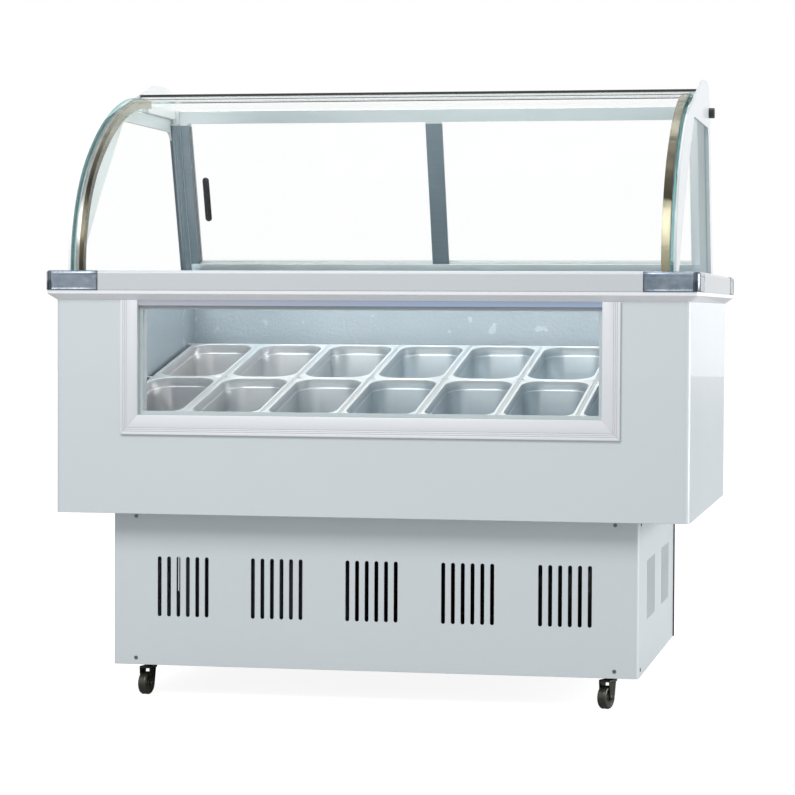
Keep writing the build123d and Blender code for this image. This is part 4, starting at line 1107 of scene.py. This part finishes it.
def corner_cap(name, notch_x, notch_y):
    """The cap of the right front corner, with its notch over the well."""
    piece = start_box(name, (cap_high[0] - leg_length, cap_low[1], cap_low[2]), tuple(cap_high))
    begin_edit(piece)
    cut_at(0, notch_x)
    cut_at(1, notch_y)
    pick("faces", lambda f: f.calc_center_median().x < notch_x - hair
         and f.calc_center_median().y > notch_y + hair)
    bpy.ops.mesh.delete(type="FACE")
    for axis, level in ((1, notch_y), (0, notch_x)):
        pick("edges", lambda e: e.is_boundary and all(
            abs(v.co[axis] - level) < 1e-5 for v in e.verts) and not along(e, 2))
        bpy.ops.mesh.bridge_edge_loops()
    pick("edges", lambda e: along(e, 2) and centre_of(e).x > cap_high[0] - hair
         and centre_of(e).y < cap_low[1] + hair)
    bpy.ops.mesh.bevel(offset=corner_radius, segments=10, affect="EDGES")
    pick("edges", lambda e: centre_of(e).z > cap_high[2] - 1e-5 and any(
        f.normal.z < 0.5 and (f.normal.x > 0.05 or f.normal.y < -0.05) and
        (f.calc_center_median().x > notch_x + 0.01 or f.calc_center_median().y < notch_y - 0.01)
        for f in e.link_faces))
    bpy.ops.mesh.bevel(offset=top_radius, segments=4, affect="EDGES")
    for axis, side, outer in ((1, -1, cap_low[1]), (0, 1, cap_high[0])):
        pick("faces", lambda f: f.normal[axis] * side > 0.99
             and abs(f.calc_center_median()[axis] - outer) < 1e-3)
        bpy.ops.mesh.inset(thickness=panel_border, depth=0.0)
        bpy.ops.mesh.inset(thickness=panel_step, depth=0.0)
        inward = [0.0, 0.0, 0.0]
        inward[axis] = -side * panel_step
        bpy.ops.transform.translate(value=inward)
    end_edit()
    soften(piece, 0.0004, 50)
    smooth(piece, 35.0)
    return piece


print("cap legs are", round(leg_length, 3), "long")

# %% [markdown]
# The front and the rear cap differ only in where their notch lies, and the left ones are mirrored
# copies. A mirrored mesh is inside out, so the copy's faces are turned back.

# %% Set the four caps
liner_sheet = Vector((0.0015, 0.0015, 0.0))
well_low, well_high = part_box("liner")[0] + liner_sheet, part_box("liner")[1] - liner_sheet
front_right = corner_cap("corner_cap_right", well_high[0], well_low[1])
front_left = mirrored_copy(front_right, "corner_cap_left", [sideways])
rear_start = corner_cap("rear_cap", well_high[0], -well_high[1])
rear_right = mirrored_copy(rear_start, "rear_cap_right", [endways])
rear_left = mirrored_copy(rear_start, "rear_cap_left", [sideways, endways])
bpy.data.objects.remove(rear_start)
for piece in (front_right, front_left):
    dress(piece, finishes["polished_cap"], "cabinet", "polished_cap", "corner_caps_front")
for piece in (rear_right, rear_left):
    dress(piece, finishes["polished_cap"], "cabinet", "polished_cap", "corner_caps_rear")
print("cap faces", len(front_right.data.polygons), "well", well_low, well_high)

# %% [markdown]
# ## The dark strip on the left rear post
# The left white bracket's rear leg gets a thin dark aluminium strip on its front, so that leg and
# door frame read as one dark post: the strip stands in for the dark reflection on that post, a
# painted reflection. It is laid on the leg's front, leaning with it, with its two front upright
# edges rounded and a fine groove down its middle.

# %% Model the dark strip on the left post
frame_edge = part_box("rear_frame")[1][0]
leg_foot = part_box("end_brackets")[0][2]
lean, foot_y = radians(18.0), 0.420
dark_strip_width, dark_strip_sheet, dark_strip_lift, short_of_top = 0.0265, 0.0012, 0.002, 0.012
half_groove, groove_depth = 0.001, 0.0006
strip_length = (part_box("side_glass")[1][2] - leg_foot) / cos(lean) - short_of_top
# A dark strip on the left leg only, standing in for a reflection: a painted reflection.
strip = start_box("post_cover_left", (-frame_edge - dark_strip_width, foot_y - dark_strip_sheet, leg_foot + dark_strip_lift),
                  (-frame_edge, foot_y, leg_foot + dark_strip_lift + strip_length))
begin_edit(strip)
pick("edges", lambda e: along(e, 2) and centre_of(e).y < foot_y - 0.001)
bpy.ops.mesh.bevel(offset=0.0005, segments=2, affect="EDGES")
middle_x = -frame_edge - dark_strip_width / 2
for offset in (-half_groove, half_groove):
    cut_at(0, middle_x + offset)
pick("faces", lambda f: f.normal.y < -0.9 and abs(f.calc_center_median().x - middle_x) < half_groove)
extrude(0.0, groove_depth, 0.0)
bpy.ops.mesh.select_all(action="SELECT")
bpy.ops.transform.rotate(value=-lean, orient_axis="X", orient_type="GLOBAL",
                         center_override=(0.0, foot_y, leg_foot))
end_edit()
smooth(strip, 35.0)
dress(strip, finishes["frame_alu"], "cabinet", "frame_alu")
print("cover", [round(v, 4) for v in strip.dimensions])

# %% [markdown]
# ## The doors' finger pulls
# Each sliding door has a shallow pull stuck on its outer face, near its closing edge: a long pad
# with round ends and a sunk middle. It is drawn flat at the origin, with its face towards the back,
# and then leans with the door. The two doors run in tracks one behind the other.

# %% Model one pull and set both
half_width, half_height, pull_thickness = 0.008, 0.055, 0.0028
up_the_lean, off_the_middle = 0.19, 0.573
pull = start_box("pull", (-half_width, 0.0, -half_height), (half_width, pull_thickness, half_height))
begin_edit(pull)
pick("edges", lambda e: along(e, 1))
bpy.ops.mesh.bevel(offset=0.0075, segments=8, affect="EDGES")
pick("faces", lambda f: f.normal.y > 0.9)
bpy.ops.mesh.inset(thickness=0.0016, depth=0.0)
bpy.ops.mesh.inset(thickness=0.0012, depth=0.0)
bpy.ops.transform.translate(value=(0.0, -0.0018, 0.0))
end_edit()
soften(pull, 0.0004, 50)
smooth(pull, 40.0)
for name, side, door_face in (("sliding_door_left", -1, 0.0156), ("sliding_door_right", 1, 0.0276)):
    seat = Matrix.Translation((side * off_the_middle,
                               foot_y - up_the_lean * sin(lean) + door_face * cos(lean),
                               leg_foot + up_the_lean * cos(lean) + door_face * sin(lean)))
    twin = copy_piece(pull, name + "_pull", seat @ Matrix.Rotation(lean, 4, "X"))
    dress(twin, finishes["black_grille"], name, "black_grille")
    print(twin.name, [round(v, 3) for v in seat.translation])
bpy.data.objects.remove(pull)

# %% [markdown]
# ## The rear louvres
# Behind the base the panel has rows of long openings. On the real cabinet each one is a pressed
# louvre: the sheet is slit and pushed out into a hood that is open only downwards, so air passes
# but nobody looks in. A hood is a box without its back and its floor, with a rounded brow.

# %% Model one hood and repeat it
rear_low, rear_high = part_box("base_rear_grille")
hood_width, hood_rows, hood_pitch, hood_height = 0.44, 8, 0.014, 0.006
hood_first, hood_depth, hood_apart, hood_sheet = rear_low[2] + 0.040, 0.009, 0.030, 0.0008
hood = start_box("hood", (-hood_width / 2 - 0.002, rear_high[1], hood_first - 0.002),
                 (hood_width / 2 + 0.002, rear_high[1] + hood_depth, hood_first + hood_height + 0.004))
begin_edit(hood)
pick("faces", lambda f: f.normal.y < -0.9 or f.normal.z < -0.9)
bpy.ops.mesh.delete(type="FACE")
pick("edges", lambda e: along(e, 0) and centre_of(e).z > hood_first
     and centre_of(e).y > rear_high[1] + 0.001)
bpy.ops.mesh.bevel(offset=0.006, segments=5, affect="EDGES")
end_edit()
apply_modifier(hood, "SOLIDIFY", thickness=hood_sheet, offset=-1.0)
smooth(hood, 45.0)
for row in range(hood_rows):
    for side in (-1, 1):
        shift = Matrix.Translation((side * (hood_width / 2 + hood_apart), 0.0, row * hood_pitch))
        twin = copy_piece(hood, f"hood_{row}_{side}", shift)
        dress(twin, finishes["black_grille"], "cabinet", "black_grille")
bpy.data.objects.remove(hood)
print("hoods", 2 * hood_rows)

# %% [markdown]
# The rear panel is folded round the base's back edges, which shows from the front as a thin black
# line down the side. Each fold is a narrow strip with a rounded outer edge, closing on the side.

# %% Fold the rear panel round both edges
side_reach = rear_high[0]
fold_reach, fold_thickness, fold_clearance = 0.012, 0.0028, 0.001
fold = start_box("fold", (side_reach, rear_high[1] - fold_reach, rear_low[2] + fold_clearance),
                 (side_reach + fold_thickness, rear_high[1], rear_high[2] - fold_clearance))
begin_edit(fold)
pick("edges", lambda e: along(e, 2) and centre_of(e).x > side_reach + 0.001)
bpy.ops.mesh.bevel(offset=0.0016, segments=4, affect="EDGES")
pick("edges", lambda e: along(e, 1) and centre_of(e).x > side_reach + 0.001)
bpy.ops.mesh.bevel(offset=0.0008, segments=2, affect="EDGES")
end_edit()
smooth(fold, 35.0)
other_fold = mirrored_copy(fold, "fold_left", [sideways])
for piece in (fold, other_fold):
    dress(piece, finishes["black_grille"], "cabinet", "black_grille")
print("folds", round(side_reach, 4), [round(v, 4) for v in fold.dimensions])

# %% [markdown]
# ## The casters
# Small swivel casters carry the cabinet. The wheel is a moulded one: a broad tread with rounded
# shoulders, a sunk web on each side and a raised hub. The fork is pressed from one sheet: a flat
# crown under the swivel, and two cheeks that taper to a rounded end round the axle. Both are
# modelled once at the origin and then set by the swivel's place and the roll axis.

# %% Model one wheel
wheel_low, wheel_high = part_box("caster_wheel_1")
wheel_radius = (wheel_high[2] - wheel_low[2]) / 2
half_tread, shoulder = 0.010, 0.0048
ring_at, half_ring, ring_size = 0.0022, 0.0003, 0.988
bpy.ops.object.select_all(action="DESELECT")
bpy.ops.mesh.primitive_cylinder_add(vertices=56, radius=wheel_radius, depth=2 * half_tread,
                                    rotation=(pi / 2, 0.0, 0.0))
wheel = bpy.context.active_object
wheel.name = "wheel"
bpy.ops.object.transform_apply(location=True, rotation=True, scale=True)
begin_edit(wheel)
for side in (-1, 1):
    pick("faces", lambda f: f.normal.y * side > 0.9)
    bpy.ops.mesh.inset(thickness=0.0055, depth=0.0)
    bpy.ops.mesh.inset(thickness=0.0012, depth=-0.0018)
    bpy.ops.mesh.inset(thickness=0.0088, depth=0.0)
    bpy.ops.mesh.inset(thickness=0.0008, depth=0.0016)
pick("edges", lambda e: abs(abs(centre_of(e).y) - half_tread) < 1e-5 and Vector(
    (centre_of(e).x, centre_of(e).z)).length > wheel_radius * 0.98 and not along(e, 1))
bpy.ops.mesh.bevel(offset=shoulder, segments=6, affect="EDGES")
for middle_y in (-ring_at, ring_at):
    cut_at(1, middle_y - half_ring)
    cut_at(1, middle_y + half_ring)
    pick("faces", lambda f: abs(f.calc_center_median().y - middle_y) < 0.0002)
    bpy.ops.transform.resize(value=(ring_size, 1.0, ring_size), center_override=(0.0, 0.0, 0.0))
end_edit()
smooth(wheel, 35.0)
print("wheel", len(wheel.data.polygons), tuple(round(v, 4) for v in wheel.dimensions))

# %% Model one fork
swivel_spot = Vector(joints["caster_swivel_1"]["pos_m"])
trail = (Vector(joints["caster_roll_1"]["pos_m"]) - swivel_spot).to_2d().length
half_gap, cheek = half_tread + 0.0006, 0.0025
half_fork = half_gap + cheek
crown_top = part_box("caster_plates")[0][2] + 0.0021
crown_low = crown_top - 0.0045
crown_front, cheek_front, behind_axle = 0.013, 0.002, 0.008
cheek_taper, toe_taper, toe_length, toe_radius, crown_radius = 0.72, 0.55, 0.007, 0.003, 0.008
axle_radius, axle_heads = 0.0042, 0.0038
fork = start_box("fork", (-trail - behind_axle, -half_fork, crown_low),
                 (crown_front, half_fork, crown_top))
begin_edit(fork)
for offset in (-half_gap, half_gap):
    cut_at(1, offset)
cut_at(0, cheek_front)
pick("edges", lambda e: abs(abs(centre_of(e).y) - half_gap) < 1e-5
     and centre_of(e).x > cheek_front + 0.0001)
bpy.ops.mesh.dissolve_edges()
pick("faces", lambda f: f.normal.z < -0.9 and abs(f.calc_center_median().y) > half_gap
     and f.calc_center_median().x < cheek_front)
for fall, taper in ((wheel_radius - crown_low, cheek_taper), (-toe_length, toe_taper)):
    extrude(0.0, 0.0, fall)
    bpy.ops.transform.resize(value=(taper, 1.0, 1.0), center_override=(-trail, 0.0, wheel_radius))
pick("edges", lambda e: along(e, 1) and centre_of(e).z < wheel_radius + 0.001)
bpy.ops.mesh.bevel(offset=toe_radius, segments=4, affect="EDGES")
pick("edges", lambda e: along(e, 2) and centre_of(e).z > crown_low and centre_of(e).x > 0.01)
bpy.ops.mesh.bevel(offset=crown_radius, segments=6, affect="EDGES")
bpy.ops.mesh.primitive_cylinder_add(vertices=20, radius=axle_radius, depth=2 * half_fork + axle_heads,
                                    location=(-trail, 0.0, wheel_radius), rotation=(pi / 2, 0.0, 0.0))
end_edit()
soften(fork, 0.0006, 40)
smooth(fork, 35.0)
print("fork", len(fork.data.polygons), tuple(round(v, 4) for v in fork.dimensions))

# %% Set the casters
for number in range(1, 5):
    swivel = Vector(joints[f"caster_swivel_{number}"]["pos_m"])
    axle = Vector(joints[f"caster_roll_{number}"]["pos_m"])
    back = (swivel - axle).to_2d()
    heading = atan2(back.y, back.x)
    set_fork = Matrix.Translation((swivel.x, swivel.y, 0.0)) @ Matrix.Rotation(heading, 4, "Z")
    twin = copy_piece(fork, f"fork_{number}", set_fork)
    dress(twin, finishes["zinc"], f"caster_fork_{number}", "zinc", f"caster_fork_{number}")
    set_wheel = Matrix.Translation(axle) @ Matrix.Rotation(heading, 4, "Z")
    twin = copy_piece(wheel, f"wheel_{number}", set_wheel)
    dress(twin, finishes["wheel_black"], f"caster_wheel_{number}", "wheel_black",
          f"caster_wheel_{number}")
bpy.data.objects.remove(fork)
bpy.data.objects.remove(wheel)
print("casters set")
